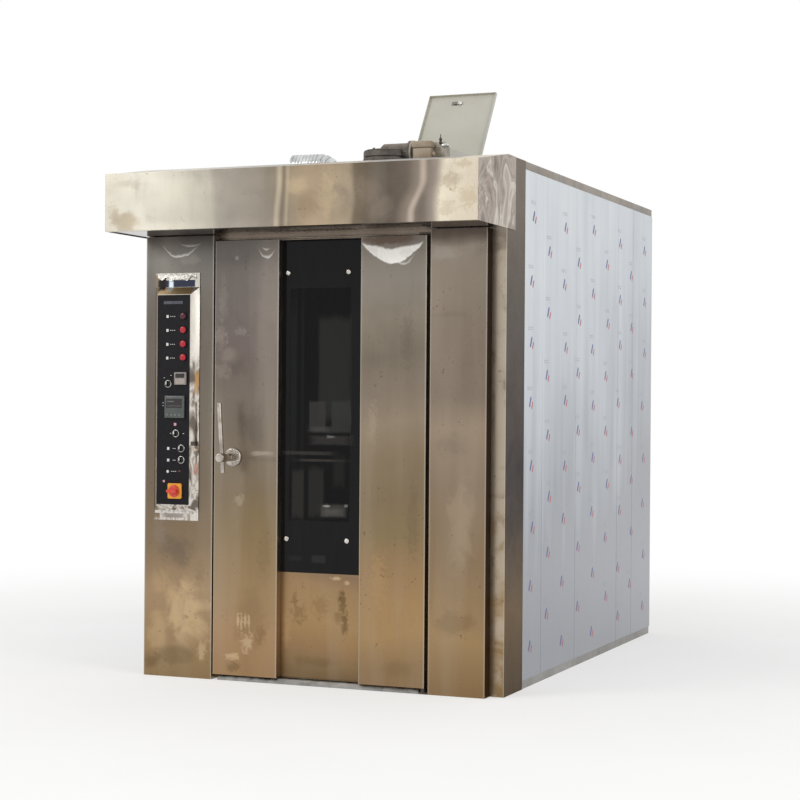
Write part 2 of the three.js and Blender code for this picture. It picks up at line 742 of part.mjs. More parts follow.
// Polished underside of the canopy, with the row of slots that draws off the steam.
function hoodUnderside() {
  const inside = halfWidth;
  const bottom = hoodBottom + sheet + fitGap;
  const slots = Array.from({ length: grilleSlots }, (_, i) => {
    const x = chamberCentreX + (i - (grilleSlots - 1) / 2) * grillePitch;
    const start = atDepth(-grilleFrontEdge);
    return block([x - grilleSlot / 2, start, bottom - 1],
      [x + grilleSlot / 2, start + grilleSlotLength, bottom + undersideSheet + 1]);
  });
  const plate = block([-inside, atDepth(-hoodDepth + sheet + fitGap), bottom],
    [inside, atDepth(-fitGap), bottom + undersideSheet]);
  return cut(plate, ...slots);
}

// ---------------------------------------------------------------- roof equipment
// Corrugated exhaust hose: it rises from the deck, bends over and ends in an open mouth.
function exhaustDuct() {
  const base = deckLevel + fitGap;
  const arcLength = (Math.PI / 2) * ductBend;
  const whole = ductRise + arcLength + ductRun;
  const along = (s) => {
    if (s <= ductRise) return { centre: [ductX, base + s], normal: [1, 0] };
    if (s <= ductRise + arcLength) {
      const angle = (s - ductRise) / ductBend;
      return {
        centre: [ductX - ductBend * (1 - Math.cos(angle)), base + ductRise + ductBend * Math.sin(angle)],
        normal: [Math.cos(angle), Math.sin(angle)],
      };
    }
    return {
      centre: [ductX - ductBend - (s - ductRise - arcLength), base + ductRise + ductBend],
      normal: [0, 1],
    };
  };
  const sides = 16;
  const ribs = Math.round(whole / ductPitch);
  const stations = Array.from({ length: 2 * ribs + 1 }, (_, i) =>
    ({ s: (whole * i) / (2 * ribs), radius: ductRadius - (i % 2 ? 0 : ductRib) }));
  const boreSteps = 10;
  const bore = Array.from({ length: boreSteps + 1 }, (_, i) =>
    ({ s: (whole * i) / boreSteps, radius: ductRadius - ductRib - ductWall }));
  const rings = [...stations, ...bore.reverse()];
  const positions = rings.flatMap(({ s, radius }) => {
    const { centre, normal } = along(s);
    return Array.from({ length: sides }, (_, k) => {
      const turn = (2 * Math.PI * k) / sides;
      const out = radius * Math.cos(turn);
      return [centre[0] + normal[0] * out, ductY + radius * Math.sin(turn), centre[1] + normal[1] * out];
    }).flat();
  });
  const index = rings.flatMap((_, ring) => {
    const next = (ring + 1) % rings.length;
    return Array.from({ length: sides }, (_unused, k) => {
      const [a, b] = [ring * sides + k, ring * sides + ((k + 1) % sides)];
      const [c, d] = [next * sides + k, next * sides + ((k + 1) % sides)];
      return [a, b, d, a, d, c];
    }).flat();
  });
  const hose = new THREE.BufferGeometry();
  hose.setAttribute("position", new THREE.Float32BufferAttribute(positions, 3));
  hose.setIndex(index);
  return solid(hose);
}

// Cast pedestal on the deck: it holds the rotor's bearings and carries the gear unit.
function rotorBearing() {
  const low = deckLevel + fitGap;
  const bore = rotorShaft + runGap;
  return turned("z", [[bore, low], [bearingFlange, low], [bearingFlange, low + bearingFlangeSheet],
    [bearingBody, low + 2 * bearingFlangeSheet], [bearingBody, bearingTop - 2 * bearingFlangeSheet],
    [bearingFlange, bearingTop - bearingFlangeSheet], [bearingFlange, bearingTop], [bore, bearingTop]],
  [chamberCentreX, rotorY, 0]);
}

function rotorShaftBody() {
  return rod("z", rotorShaft, carrierHubTop - 40, rotorShaftTop, [chamberCentreX, rotorY, 0]);
}

// Right-angle gear unit: round flanged housing on the shaft, input housing lying across its top.
function gearUnit() {
  const low = bearingTop + fitGap;
  const layer = (gearTop - low) / gearLayers;
  const profile = [[0, low]];
  for (let i = 0; i < gearLayers; i += 1) {
    const z = low + i * layer;
    profile.push([gearRadius - 2 * i, z], [gearRadius - 2 * i, z + layer - gearGroove]);
    if (i < gearLayers - 1) {
      profile.push([gearRadius - 2 * i - gearGroove, z + layer - gearGroove / 2],
        [gearRadius - 2 * (i + 1), z + layer]);
    }
  }
  profile.push([gearRadius - 2 * gearLayers - 12, gearTop], [0, gearTop]);
  const wheelHousing = turned("z", profile, [chamberCentreX, rotorY, 0], 28);
  const cap = 18;
  const inputHousing = turned("x", [[0, inputLeft], [inputRadius - cap, inputLeft],
    [inputRadius, inputLeft + cap], [inputRadius, inputRight - 14], [inputRadius + 10, inputRight - 14],
    [inputRadius + 10, inputRight], [0, inputRight]], [0, rotorY, inputLevel]);
  const bore = rod("z", rotorShaft + runGap, low - 1, rotorShaftTop + 2, [chamberCentreX, rotorY, 0]);
  return wheelHousing.add(inputHousing).subtract(bore);
}

function driveMotor() {
  const start = inputRight + fitGap;
  const flange = rod("x", inputRadius + 10, start, start + 10, [0, rotorY, inputLevel]);
  const body = prism("x", finned(rotorY, inputLevel, motorRadius, motorFinDepth, motorFins),
    start + 8, start + motorLength - 34);
  const cowl = turned("x", [[0, start + motorLength - 38], [motorRadius + 1, start + motorLength - 38],
    [motorRadius + 1, start + motorLength - 8], [motorRadius - 8, start + motorLength],
    [0, start + motorLength]], [0, rotorY, inputLevel]);
  return join(flange, body, cowl);
}

// Terminal box on the motor's flank: a tray with the larger lid over it.
function terminalBox() {
  const back = rotorY - motorRadius;
  const inset = 5;
  const split = terminalBottom + terminalHeight - terminalCover;
  const saddle = rod("x", motorRadius + fitGap, terminalLeft - 1, terminalLeft + terminalWidth + 1,
    [0, rotorY, inputLevel], 32);
  const body = block([terminalLeft + inset, back - terminalDepth + inset, terminalBottom],
    [terminalLeft + terminalWidth - inset, back + terminalSaddle, split + 1]).subtract(saddle);
  const lid = block([terminalLeft, back - terminalDepth, split],
    [terminalLeft + terminalWidth, back, terminalBottom + terminalHeight]);
  const gland = rod("x", 9, 0, 16, [terminalLeft + terminalWidth - inset - 0.5,
    back - terminalDepth / 2, terminalBottom + terminalHeight / 3], 12);
  return join(body, lid, gland);
}

// ---------------------------------------------------------------- rack carrier
// Carrier under the roof: a hub on the shaft and a beam whose ends turn down into hooks.
function rackCarrier() {
  const place = [chamberCentreX, rotorY, 0];
  const bore = rotorShaft + fitGap;
  const hub = turned("z", [[bore, carrierBeamTop - 30], [carrierHub, carrierBeamTop - 30],
    [carrierHub, carrierHubTop - 12], [carrierHub - 12, carrierHubTop], [bore, carrierHubTop]], place);
  const low = carrierBeamTop - carrierBeam;
  const tip = carrierSpan;
  const profile = [[-tip, carrierBeamTop], [-tip, low - hookDrop], [-tip + hookToe, low - hookDrop],
    [-tip + hookToe, low - hookDrop + hookSheet], [-tip + hookSheet, low - hookDrop + hookSheet],
    [-tip + hookSheet, low], [tip - hookSheet, low], [tip - hookSheet, low - hookDrop + hookSheet],
    [tip - hookToe, low - hookDrop + hookSheet], [tip - hookToe, low - hookDrop],
    [tip, low - hookDrop], [tip, carrierBeamTop]]
    .map(([x, z]) => [chamberCentreX + x, z]);
  const beam = prism("y", profile, rotorY - carrierWidth / 2, rotorY + carrierWidth / 2);
  const shaftRoom = rod("z", bore, carrierHubTop - 40 - fitGap, carrierBeamTop + 1, place);
  return beam.subtract(shaftRoom).add(hub);
}

// ---------------------------------------------------------------- electrical enclosure
const enclosureRight = enclosureLeft + enclosureWidth;
const enclosureBack = atDepth(enclosureBackDepth);
const enclosureFront = enclosureBack - enclosureLength;
const enclosureTop = enclosureBottom + enclosureHeight;
const hingeY = enclosureBack + hingeOffset;
const hingeZ = enclosureTop;
const lockX = enclosureLeft + lockFromLeft;
const lockY = enclosureFront + lockFromEdge;

// Stand over the deck: a table of folded sheet on four legs.
function enclosureStand() {
  const top = enclosureBottom - fitGap;
  const table = block([enclosureLeft, enclosureFront, top - legSheet],
    [enclosureRight, enclosureBack, top]);
  const legs = [];
  for (const x of [enclosureLeft, enclosureRight - legWidth]) {
    for (const y of [enclosureFront, enclosureBack - legWidth]) {
      const outerX = x === enclosureLeft ? x : x + legWidth - legSheet;
      const outerY = y === enclosureFront ? y : y + legWidth - legSheet;
      legs.push(block([x, outerY, deckLevel + fitGap], [x + legWidth, outerY + legSheet, top - 1]),
        block([outerX, y, deckLevel + fitGap], [outerX + legSheet, y + legWidth, top - 1]));
    }
  }
  return join(table, ...legs);
}

// Open-topped steel box with an inward rim, a cable gland and the fixed hinge lugs.
function enclosureBox() {
  const t = enclosureSheet;
  const outer = block([enclosureLeft, enclosureFront, enclosureBottom],
    [enclosureRight, enclosureBack, enclosureTop]);
  const inner = block([enclosureLeft + t, enclosureFront + t, enclosureBottom + t],
    [enclosureRight - t, enclosureBack - t, enclosureTop - t]);
  const rim = enclosureFlange;
  const mouth = block([enclosureLeft + rim, enclosureFront + rim, enclosureTop - 2 * t],
    [enclosureRight - rim, enclosureBack - rim, enclosureTop + 1]);
  const lugs = [enclosureLeft + 20, enclosureRight - 20 - hingeLug].map((x) =>
    block([x, enclosureBack - 1, hingeZ - hingeBarrel - 8], [x + hingeLug, hingeY, hingeZ - hingeBarrel + 2])
      .add(rod("x", hingeBarrel, x, x + hingeLug, [0, hingeY, hingeZ], 16))
      .subtract(rod("x", hingeBarrel / 2 + runGap, x - 1, x + hingeLug + 1, [0, hingeY, hingeZ], 16)));
  const gland = rod("x", glandRadius, enclosureRight - 1, enclosureRight + glandLength,
    [0, enclosureBack - glandFromBack, enclosureBottom + glandAbove], 18);
  return join(cut(outer, inner, mouth), ...lugs, gland);
}

// Folded lid with the moving barrel and its pin, drawn closed and then laid back on its stop.
function enclosureLid() {
  const t = enclosureSheet;
  const bottom = hingeZ + fitGap;
  const [x0, x1] = [enclosureLeft - lidPlay - t, enclosureRight + lidPlay + t];
  const y0 = enclosureFront - lidPlay - t;
  const y1 = hingeY - hingeBarrel - 1;
  const pan = block([x0, y0, bottom - lidFold], [x1, y1, bottom + t])
    .subtract(block([x0 + t, y0 + t, bottom - lidFold - 1], [x1 - t, y1 + 1, bottom]));
  const from = enclosureLeft + 20 + hingeLug + fitGap;
  const to = enclosureRight - 20 - hingeLug - fitGap;
  const barrel = rod("x", hingeBarrel, from, to, [0, hingeY, hingeZ], 16);
  const pin = rod("x", hingeBarrel / 2, from - hingeLug, to + hingeLug, [0, hingeY, hingeZ], 16);
  const leaf = block([from, y1 - 1, bottom], [to, hingeY, bottom + t]);
  const room = lockRadius + runGap;
  const lockHole = block([lockX - room, lockY - room, bottom - 1],
    [lockX + room, lockY + room, bottom + t + 1]);
  return join(pan, barrel, pin, leaf).subtract(lockHole);
}

function lidLock() {
  const bottom = hingeZ + fitGap;
  const top = bottom + enclosureSheet;
  const level = enclosureTop - enclosureSheet - runGap - tongueSheet;
  const barrel = turned("z", [[0, level], [lockRadius, level], [lockRadius, top + fitGap],
    [lockRadius + 4, top + fitGap], [lockRadius + 3, top + 4], [0, top + 4]], [lockX, lockY, 0], 20);
  const tongue = block([lockX - tongueReach, lockY - tongueWidth / 2, level],
    [lockX + lockRadius, lockY + tongueWidth / 2, level + tongueSheet]);
  return barrel.add(tongue);
}

// ---------------------------------------------------------------- door
const leftStileRight = doorLeft + leftStileWidth;
const rightStileLeft = doorRight - rightStileWidth;
const coreFront = atDepth(-doorCoreFront);

// Insulated core: a flange that covers the doorway's edge and a plug that fills it, with the window.
function doorCore() {
  const flange = block([doorLeft, coreFront, doorBottom], [doorRight, atDepth(-doorFlangeBack), doorTop]);
  const plug = block([doorwayLeft + plugSideGap, atDepth(-doorFlangeBack) - 1, plugBottom],
    [doorwayRight - plugSideGap - 1, atDepth(plugReach), doorwayTop - plugTopGap]);
  const window = block([windowLeft, coreFront - 1, windowBottom],
    [windowRight, atDepth(plugReach) + 1, windowTop]);
  const seat = block([windowLeft - rebate, atDepth(plugReach - rebateDepth), windowBottom - rebate],
    [windowRight + rebate, atDepth(plugReach) + 1, windowTop + rebate]);
  const screws = standoffX.flatMap((x) => standoffZ.map((z) =>
    rod("y", standoffShank + fitGap, coreFront - 1, coreFront + 14, [x, 0, z], 12)));
  const spindleRoom = rod("y", spindleRadius + 6, coreFront - 1, coreFront + 4, [handleX, 0, handleZ]);
  return cut(flange.add(plug), window, seat, spindleRoom, ...screws);
}

// Stile: a five-sided sheet box seated on the core, open at the back.
function stile(x0, x1) {
  const back = coreFront - fitGap;
  const outer = block([x0, stileFront, doorBottom], [x1, back, doorTop]);
  const inner = block([x0 + sheet, stileFront + sheet, doorBottom + sheet],
    [x1 - sheet, back + 1, doorTop - sheet]);
  return outer.subtract(inner);
}

// The stile that carries the latch has no pivot in its foot, which stays open to let it drain.
function leftStile() {
  const spindleHole = rod("y", spindleRadius + runGap, stileFront - 1, stileFront + sheet + 1,
    [handleX, 0, handleZ]);
  const openFoot = block([doorLeft + sheet, stileFront + sheet, doorBottom - 1],
    [leftStileRight - sheet, coreFront + 1, doorBottom + sheet + 1]);
  return cut(stile(doorLeft, leftStileRight), spindleHole, openFoot,
    latchSlot(doorLeft - 1, doorLeft + sheet + 1));
}

function rightStile() {
  const pinHole = rod("z", pivotPin + runGap, doorBottom - 1, doorTop + 1, [pivotX, pivotY, 0]);
  return stile(rightStileLeft, doorRight).subtract(pinHole);
}

const centreLeft = leftStileRight + glassSideGap;
const centreRight = rightStileLeft - glassSideGap;

// Lower centre panel: a flat sheet on the core, sunk between the stiles.
function lowerPanel() {
  const back = coreFront - fitGap;
  return block([centreLeft, back - sheet, doorBottom], [centreRight, back, panelPitchTop]);
}

const glassFront = coreFront - fitGap - glassThickness;

function outerGlass() {
  const holes = standoffX.flatMap((x) => standoffZ.map((z) => circle(x, z, standoffShank + 1, 16)));
  return prism("y", rectangle(centreLeft, centreRight, panelPitchTop + glassSideGap, doorTop),
    glassFront, glassFront + glassThickness, holes);
}

function innerGlass() {
  const front = atDepth(plugReach - rebateDepth + fitGap);
  const grip = rebate - glassSideGap;
  return block([windowLeft - grip, front, windowBottom - grip],
    [windowRight + grip, front + innerGlassThickness, windowTop + grip]);
}

// Dome-headed stud through the outer glass into the core.
function standoff(x, z) {
  const face = glassFront - fitGap;
  return turned("y", [[0, face - 6], [standoffHead - 5, face - 6], [standoffHead, face - 2.5],
    [standoffHead, face], [standoffShank, face], [standoffShank, coreFront + 12],
    [0, coreFront + 12]], [x, 0, z], 16);
}

// Silicone seal on the back of the flange, pressed against the front frame round the doorway.
function doorGasket() {
  const [x0, x1] = [doorwayLeft - gasketInset, doorwayRight + gasketInset];
  const [z0, z1] = [plugBottom - gasketInset, doorwayTop + gasketInset];
  const w = gasketWidth;
  return prism("y", rectangle(x0 - w, x1 + w, z0 - w, z1 + w),
    atDepth(-doorFlangeBack + fitGap), atDepth(-fitGap), [rectangle(x0, x1, z0, z1)]);
}

// Door pivots: a bracket plate over and under the right stile, each with its pin.
function pivotPlate(z0, z1) {
  return block([rightColumnInner - fitGap - pivotPlateWidth, atDepth(-doorProud + 2), z0],
    [rightColumnInner - fitGap, atDepth(-fitGap), z1]);
}

function topPivot() {
  const bottom = doorTop + 5;
  const pin = rod("z", pivotPin, doorTop - pivotPinReach, bottom + 1, [pivotX, pivotY, 0], 20);
  return pivotPlate(bottom, bottom + pivotPlateSheet).add(pin);
}

function bottomPivot() {
  const x0 = doorwayRight;
  const plate = block([x0, atDepth(-doorProud + 2), 0],
    [rightColumnInner - fitGap, atDepth(-fitGap), pivotPlateSheet]);
  const place = [pivotX, pivotY, 0];
  const shoulder = rod("z", pivotPin + 4, pivotPlateSheet - 1, doorBottom - fitGap, place, 20);
  const pin = rod("z", pivotPin, doorBottom - 1, doorBottom + pivotPinReach, place, 20);
  return join(plate, shoulder, pin);
}

// ---------------------------------------------------------------- door handle and latch
const barY = stileFront - handleReach;

// Flange round the spindle with its ring of cap nuts.
function handleRosette() {
  const back = stileFront - fitGap;
  const bore = spindleRadius + runGap;
  const face = back - rosetteThickness;
  const flange = turned("y", [[bore, face], [rosetteRadius - 5, face],
    [rosetteRadius, back - rosetteThickness / 2], [rosetteRadius, back], [bore, back]],
  [handleX, 0, handleZ], 28);
  const nuts = Array.from({ length: rosetteNutCount }, (_, i) => {
    const turn = (2 * Math.PI * (i + 0.5)) / rosetteNutCount;
    const r = rosetteNutRadius;
    return turned("y", [[0, face - r], [r * 0.7, face - 0.7 * r], [r, face], [r, back - 2], [0, back - 2]],
    [handleX + rosetteNutCircle * Math.cos(turn), 0, handleZ + rosetteNutCircle * Math.sin(turn)], 10);
  });
  return join(flange, ...nuts);
}

const barTurn = new THREE.Matrix4().makeRotationY(THREE.MathUtils.degToRad(-barLean));

// Rod along the leaning bar's own line through the collar.
function leaningRod(radius, below, above, sides) {
  const bar = new THREE.CylinderGeometry(radius, radius, above + below, sides);
  bar.rotateX(Math.PI / 2);
  bar.translate(0, 0, (above - below) / 2);
  bar.applyMatrix4(barTurn);
  bar.translate(handleX, barY, handleZ);
  return solid(bar);
}

// Spindle: collar for the bar, hub, shaft through the stile, and the latch tongue at its end.
function handleSpindle() {
  const place = [handleX, 0, handleZ];
  const tongueBack = atDepth(-latchAhead);
  const tongueFront = tongueBack - latchThickness;
  const rosetteFace = stileFront - fitGap - rosetteThickness;
  const profile = [[0, barY - collarLength / 2], [collarRadius - 3, barY - collarLength / 2],
    [collarRadius, barY - collarLength / 2 + 3], [collarRadius, barY + collarLength / 2],
    [neckRadius, barY + collarLength / 2 + 4], [neckRadius, rosetteFace - hubLength],
    [hubRadius, rosetteFace - hubLength + 6], [hubRadius, rosetteFace - fitGap],
    [spindleRadius, rosetteFace - fitGap], [spindleRadius, tongueBack], [0, tongueBack]];
  const shaft = turned("y", profile, place);
  const [left, right] = [handleX - latchWidth / 2, handleX + latchWidth / 2];
  const tip = handleZ - latchReach;
  const tongue = prism("y", [[left, handleZ], [left, tip + 6], [left + 6, tip], [right - 6, tip],
    [right, tip + 6], [right, handleZ]], tongueFront, tongueBack);
  const eye = leaningRod(barRadius + fitGap, collarRadius + 2, collarRadius + 2, 24);
  return shaft.add(tongue).subtract(eye);
}

function handleBar() {
  return leaningRod(barRadius, barBelow, barAbove, 24);
}

// ---------------------------------------------------------------- control panel
// Frustum between two rectangles of (x, z) at two y planes.
function frustum([x0, x1, z0, z1], nearY, [u0, u1, w0, w1], farY) {
  const geometry = new THREE.BufferGeometry();
  const ring = (a, b, c, d, y) => [a, y, c, b, y, c, b, y, d, a, y, d];
  geometry.setAttribute("position", new THREE.Float32BufferAttribute(
    [...ring(x0, x1, z0, z1, nearY), ...ring(u0, u1, w0, w1, farY)], 3));
  const walls = [0, 1, 2, 3].flatMap((i) => {
    const j = (i + 1) % 4;
    return [i, i + 4, j, j, i + 4, j + 4];
  });
  geometry.setIndex([0, 1, 2, 0, 2, 3, 4, 6, 5, 4, 7, 6, ...walls]);
  return solid(geometry);
}

const panelBack = stileFront - fitGap;
const panelFace = stileFront - fitGap - sheet;
const bezelFront = stileFront - bezelRise;

// Polished frame: a flat mounting plate and a bevelled bezel raised round the fascia.
function panelFrame() {
  const plate = block([bezelLeft, panelFace, panelLow], [bezelRight, panelBack, panelHigh]);
  const base = [bezelLeft, bezelRight, bezelLow, bezelHigh];
  const shrink = ([a, b, c, d], side, end) => [a + side, b - side, c + end, d - end];
  const raised = frustum(shrink(base, bezelSideRun, bezelEndRun), bezelFront, base, panelFace + 1);
  const rim = bezelWall - fitGap;
  const seat = shrink(base, bezelSideRun + rim, bezelEndRun + rim);
  const hollow = frustum(seat, bezelFront - 0.01, shrink(base, bezelWall, bezelWall), panelBack + 1);
  const ledge = prism("y", rectangle(seat[0] - 6, seat[1] + 6, seat[2] - 6, seat[3] + 6),
    bezelFront + fasciaSheet + fitGap, bezelFront + fasciaSheet + fitGap + sheet,
    [rectangle(seat[0] + 3, seat[1] - 3, seat[2] + 3, seat[3] - 3)]);
  return join(plate, raised).subtract(hollow).add(ledge.intersect(raised));
}

// Fascia plate with an opening for each control, and a guard ring round each push button.
function panelFascia() {
  const back = bezelFront + fasciaSheet;
  const square = ([x, z], [w, h], grow) =>
    rectangle(x - w / 2 - grow, x + w / 2 + grow, z - h / 2 - grow, z + h / 2 + grow);
  const through = (x, z, radius) =>
    rod("y", radius, bezelFront - guardHeight - 1, back + 1, [x, 0, z]);
  const plate = prism("y", rectangle(fasciaLeft, fasciaRight, fasciaLow, fasciaHigh), bezelFront, back, [
    square(timerSpot, timerSize, fitGap - instrumentLip),
    square(controllerSpot, controllerSize, fitGap - instrumentLip)]);
  const guards = buttonZ.map((z) =>
    rod("y", buttonRadius + guardRing, bezelFront - guardHeight, bezelFront + 1, [buttonX, 0, z]));
  const holes = [
    ...buttonZ.map((z) => through(buttonX, z, buttonRadius + runGap)),
    ...selectorSpots.map(([x, z]) => through(x, z, selectorRadius + runGap)),
    through(...switchSpot, switchStem + 2)];
  return cut(join(plate, ...guards), ...holes);
}

function pushButton(z) {
  const face = bezelFront - buttonProud;
  return turned("y", [[0, face], [buttonRadius - 6, face + 0.8], [buttonRadius, face + buttonDome],
    [buttonRadius, face + buttonLength], [0, face + buttonLength]], [buttonX, 0, z], 20);
}

// Instrument: a bezel on the fascia and its case behind.
function instrument([x, z], [w, h]) {
  const front = bezelFront - fitGap;
  const rim = block([x - w / 2, front - instrumentProud, z - h / 2], [x + w / 2, front, z + h / 2]);
  const [cw, ch] = [w / 2 - instrumentLip, h / 2 - instrumentLip];
  const casing = block([x - cw, front - 1, z - ch], [x + cw, front + instrumentLength, z + ch]);
  const glass = block([x - cw, front - instrumentProud - 1, z - ch],
    [x + cw, front - instrumentProud + 2, z + ch]);
  return rim.add(casing).subtract(glass);
}

// Rotary selector: a round base in the fascia with a raised grip across it.
function selectorKnob([x, z]) {
  const face = bezelFront - selectorProud;
  const base = turned("y", [[0, face], [selectorRadius - 1.5, face], [selectorRadius, face + 1.5],
    [selectorRadius, bezelFront + 30], [0, bezelFront + 30]], [x, 0, z], 20);
  const grip = prism("y", [[x - selectorGripWidth / 2, z - selectorRadius + 2],
    [x + selectorGripWidth / 2, z - selectorRadius + 2], [x + selectorGripWidth / 2, z + selectorRadius - 3],
    [x, z + selectorRadius - 0.5], [x - selectorGripWidth / 2, z + selectorRadius - 3]],
  face - selectorGrip, face + 1);
  return base.add(grip);
}

function mainSwitchPlate() {
  const [x, z] = switchSpot;
  const half = switchPlateSize / 2;
  const corner = 5;
  const outline = [[-half + corner, -half], [half - corner, -half], [half, -half + corner],
    [half, half - corner], [half - corner, half], [-half + corner, half], [-half, half - corner],
    [-half, -half + corner]].map(([u, w]) => [x + u, z + w]);
  return prism("y", outline, bezelFront - fitGap - switchPlateSheet, bezelFront - fitGap,
    [circle(x, z, switchStem + runGap, 20)]);
}

// Rotary handle of the main switch: round skirt, raised grip with its pointer to the left, stem.
function mainSwitchKnob() {
  const [x, z] = switchSpot;
  const back = bezelFront - 2 * fitGap - switchPlateSheet;
  const front = back - switchKnobProud;
  const skirt = turned("y", [[0, back - 10], [switchKnobRadius - 4, back - 10], [switchKnobRadius, back - 6],
    [switchKnobRadius, back], [switchStem, back], [switchStem, bezelFront + 20], [0, bezelFront + 20]],
  [x, 0, z], 36);
  const grip = prism("y", [[x + switchKnobRadius - 3, z - switchGripWidth / 2],
    [x + switchKnobRadius - 3, z + switchGripWidth / 2], [x - switchKnobRadius + 3, z + switchGripWidth / 2],
    [x - switchKnobRadius - 3, z], [x - switchKnobRadius + 3, z - switchGripWidth / 2]],
  front, back - 9);
  return skirt.add(grip);
}

// ---------------------------------------------------------------- assembly
add("base_frame", baseFrame(), galvanised);
add("front_frame", frontFrame(), stainless);
add("left_column", leftColumn(), stainless);
add("right_column", column(rightColumnInner, rightColumnOuter), stainless);
add("left_side_panel", sidePanel(-1), filmed);
add("right_side_panel", sidePanel(1), filmed);
add("rear_panel", rearPanel(), galvanised);
add("rear_service_cover", rearCover(), galvanised);
add("roof_rim", roofRim(), stainless);
add("roof_deck", roofDeck(), galvanised);

add("chamber_liner", chamberLiner(), stainless);
add("insulation_jacket", insulation(), mineralWool);
add("air_baffle", airBaffle(), stainless);
add("heater_bank", heaterBank(), stainless);
add("steam_cascade", steamCascade(), ironGrey);
add("fan_wheel", fanWheel(), galvanised);
add("fan_motor", fanMotor(), ironGrey);

add("hood_shell", hoodShell(), stainless);
add("hood_underside", hoodUnderside(), polished);

add("exhaust_duct", exhaustDuct(), foil);
add("rotor_bearing", rotorBearing(), ironGrey);
add("rotor_shaft", rotorShaftBody(), galvanised);
add("rack_carrier", rackCarrier(), stainless);
add("gear_unit", gearUnit(), ironGrey);
add("drive_motor", driveMotor(), enamelGrey);
add("motor_terminal_box", terminalBox(), enamelGrey);

add("enclosure_stand", enclosureStand(), galvanised);
add("enclosure_box", enclosureBox(), enamelGrey);
// The lid and its lock are drawn closed about the hinge line, then turned back to their stop.
const lidHinge = new THREE.Group();
lidHinge.position.set(0, hingeY, hingeZ);
lidHinge.rotation.x = THREE.MathUtils.degToRad(-lidOpen);
const lidGroup = new THREE.Group();
lidGroup.position.set(0, -hingeY, -hingeZ);
lidHinge.add(lidGroup);
oven.add(lidHinge);
add("enclosure_lid", enclosureLid(), enamelGrey, lidGroup);
add("lid_lock", lidLock(), polished, lidGroup);

add("door_core", doorCore(), stainless);
add("door_stile_left", leftStile(), stainless);
add("door_stile_right", rightStile(), stainless);
add("door_lower_panel", lowerPanel(), stainless);
add("door_outer_glass", outerGlass(), darkGlass);
add("door_inner_glass", innerGlass(), darkGlass);
standoffX.forEach((x, i) => standoffZ.forEach((z, j) =>
  add(`glass_standoff_${2 * i + j + 1}`, standoff(x, z), polished)));
add("door_gasket", doorGasket(), rubber);
add("door_pivot_top", topPivot(), galvanised);
add("door_pivot_bottom", bottomPivot(), galvanised);
add("handle_rosette", handleRosette(), polished);
add("handle_spindle", handleSpindle(), polished);
add("handle_bar", handleBar(), polished);

add("panel_frame", panelFrame(), polished);
add("panel_fascia", panelFascia(), blackPanel);
buttonZ.forEach((z, i) => add(`push_button_${i + 1}`, pushButton(z), redCap));
selectorSpots.forEach((spot, i) => add(`selector_knob_${i + 1}`, selectorKnob(spot), blackPanel));
add("timer", instrument(timerSpot, timerSize), blackPanel);
add("temperature_controller", instrument(controllerSpot, controllerSize), blackPanel);
add("main_switch_plate", mainSwitchPlate(), yellowPlate);
add("main_switch_knob", mainSwitchKnob(), redCap);

export default oven;
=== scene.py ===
"""Rotating rack oven: the finishes and the fine shapes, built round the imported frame.
Shapes are written in millimetres as (x, depth, z), with depth counted back from the face of the
front frame, and become metres when a mesh is made."""
import math

import bmesh
import bpy
import numpy as np
from mathutils import Matrix


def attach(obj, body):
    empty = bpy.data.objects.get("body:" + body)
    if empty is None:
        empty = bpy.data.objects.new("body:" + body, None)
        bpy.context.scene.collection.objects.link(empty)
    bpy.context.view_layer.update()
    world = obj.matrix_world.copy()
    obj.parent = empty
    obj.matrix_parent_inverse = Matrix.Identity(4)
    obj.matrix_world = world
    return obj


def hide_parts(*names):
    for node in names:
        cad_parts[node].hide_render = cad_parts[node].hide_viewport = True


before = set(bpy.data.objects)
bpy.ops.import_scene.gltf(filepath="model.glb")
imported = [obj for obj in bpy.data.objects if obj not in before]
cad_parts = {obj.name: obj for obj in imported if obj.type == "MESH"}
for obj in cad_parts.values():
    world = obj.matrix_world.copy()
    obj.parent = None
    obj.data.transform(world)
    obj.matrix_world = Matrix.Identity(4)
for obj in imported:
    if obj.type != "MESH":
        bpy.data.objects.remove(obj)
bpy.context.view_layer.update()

# ---------------------------------------------------------------- camera
# The photograph was taken standing to the right of the door with a moderate telephoto view.
# Place and turn come from the oven's own straight edges; the lens is 83 mm on a 36 mm frame.
yaw, pitch, roll = 0.3878, -0.0006, 0.0073
sight = np.array([-math.sin(yaw) * math.cos(pitch), math.cos(yaw) * math.cos(pitch), -math.sin(pitch)])
level = np.array([math.cos(yaw), math.sin(yaw), 0.0])
upward = np.cross(level, sight)
across = math.cos(roll) * level + math.sin(roll) * upward
above = -math.sin(roll) * level + math.cos(roll) * upward
camera = bpy.data.objects.new("camera", bpy.data.cameras.new("camera"))
bpy.context.scene.collection.objects.link(camera)
camera.data.sensor_width = 36.0
camera.data.lens = 83.25
camera.data.clip_end = 60.0
turn = np.column_stack([across, above, -sight])
camera.matrix_world = Matrix.Translation((3.26262, -8.07054, 1.19688)) @ Matrix(turn.tolist()).to_4x4()
bpy.context.scene.camera = camera
bpy.context.scene.view_settings.view_transform = "Standard"


# ---------------------------------------------------------------- floor and light
# A pale studio floor under an even white surround, with one large soft lamp from the upper left
# and a weaker one from the right, so that steel shows its bends and the object keeps a shadow.
def tone(code):
    """Linear colour of an sRGB hex code."""
    parts = np.array([int(code[i:i + 2], 16) / 255 for i in (1, 3, 5)])
    linear = np.where(parts <= 0.04045, parts / 12.92, ((parts + 0.055) / 1.055) ** 2.4)
    return (*linear.tolist(), 1.0)


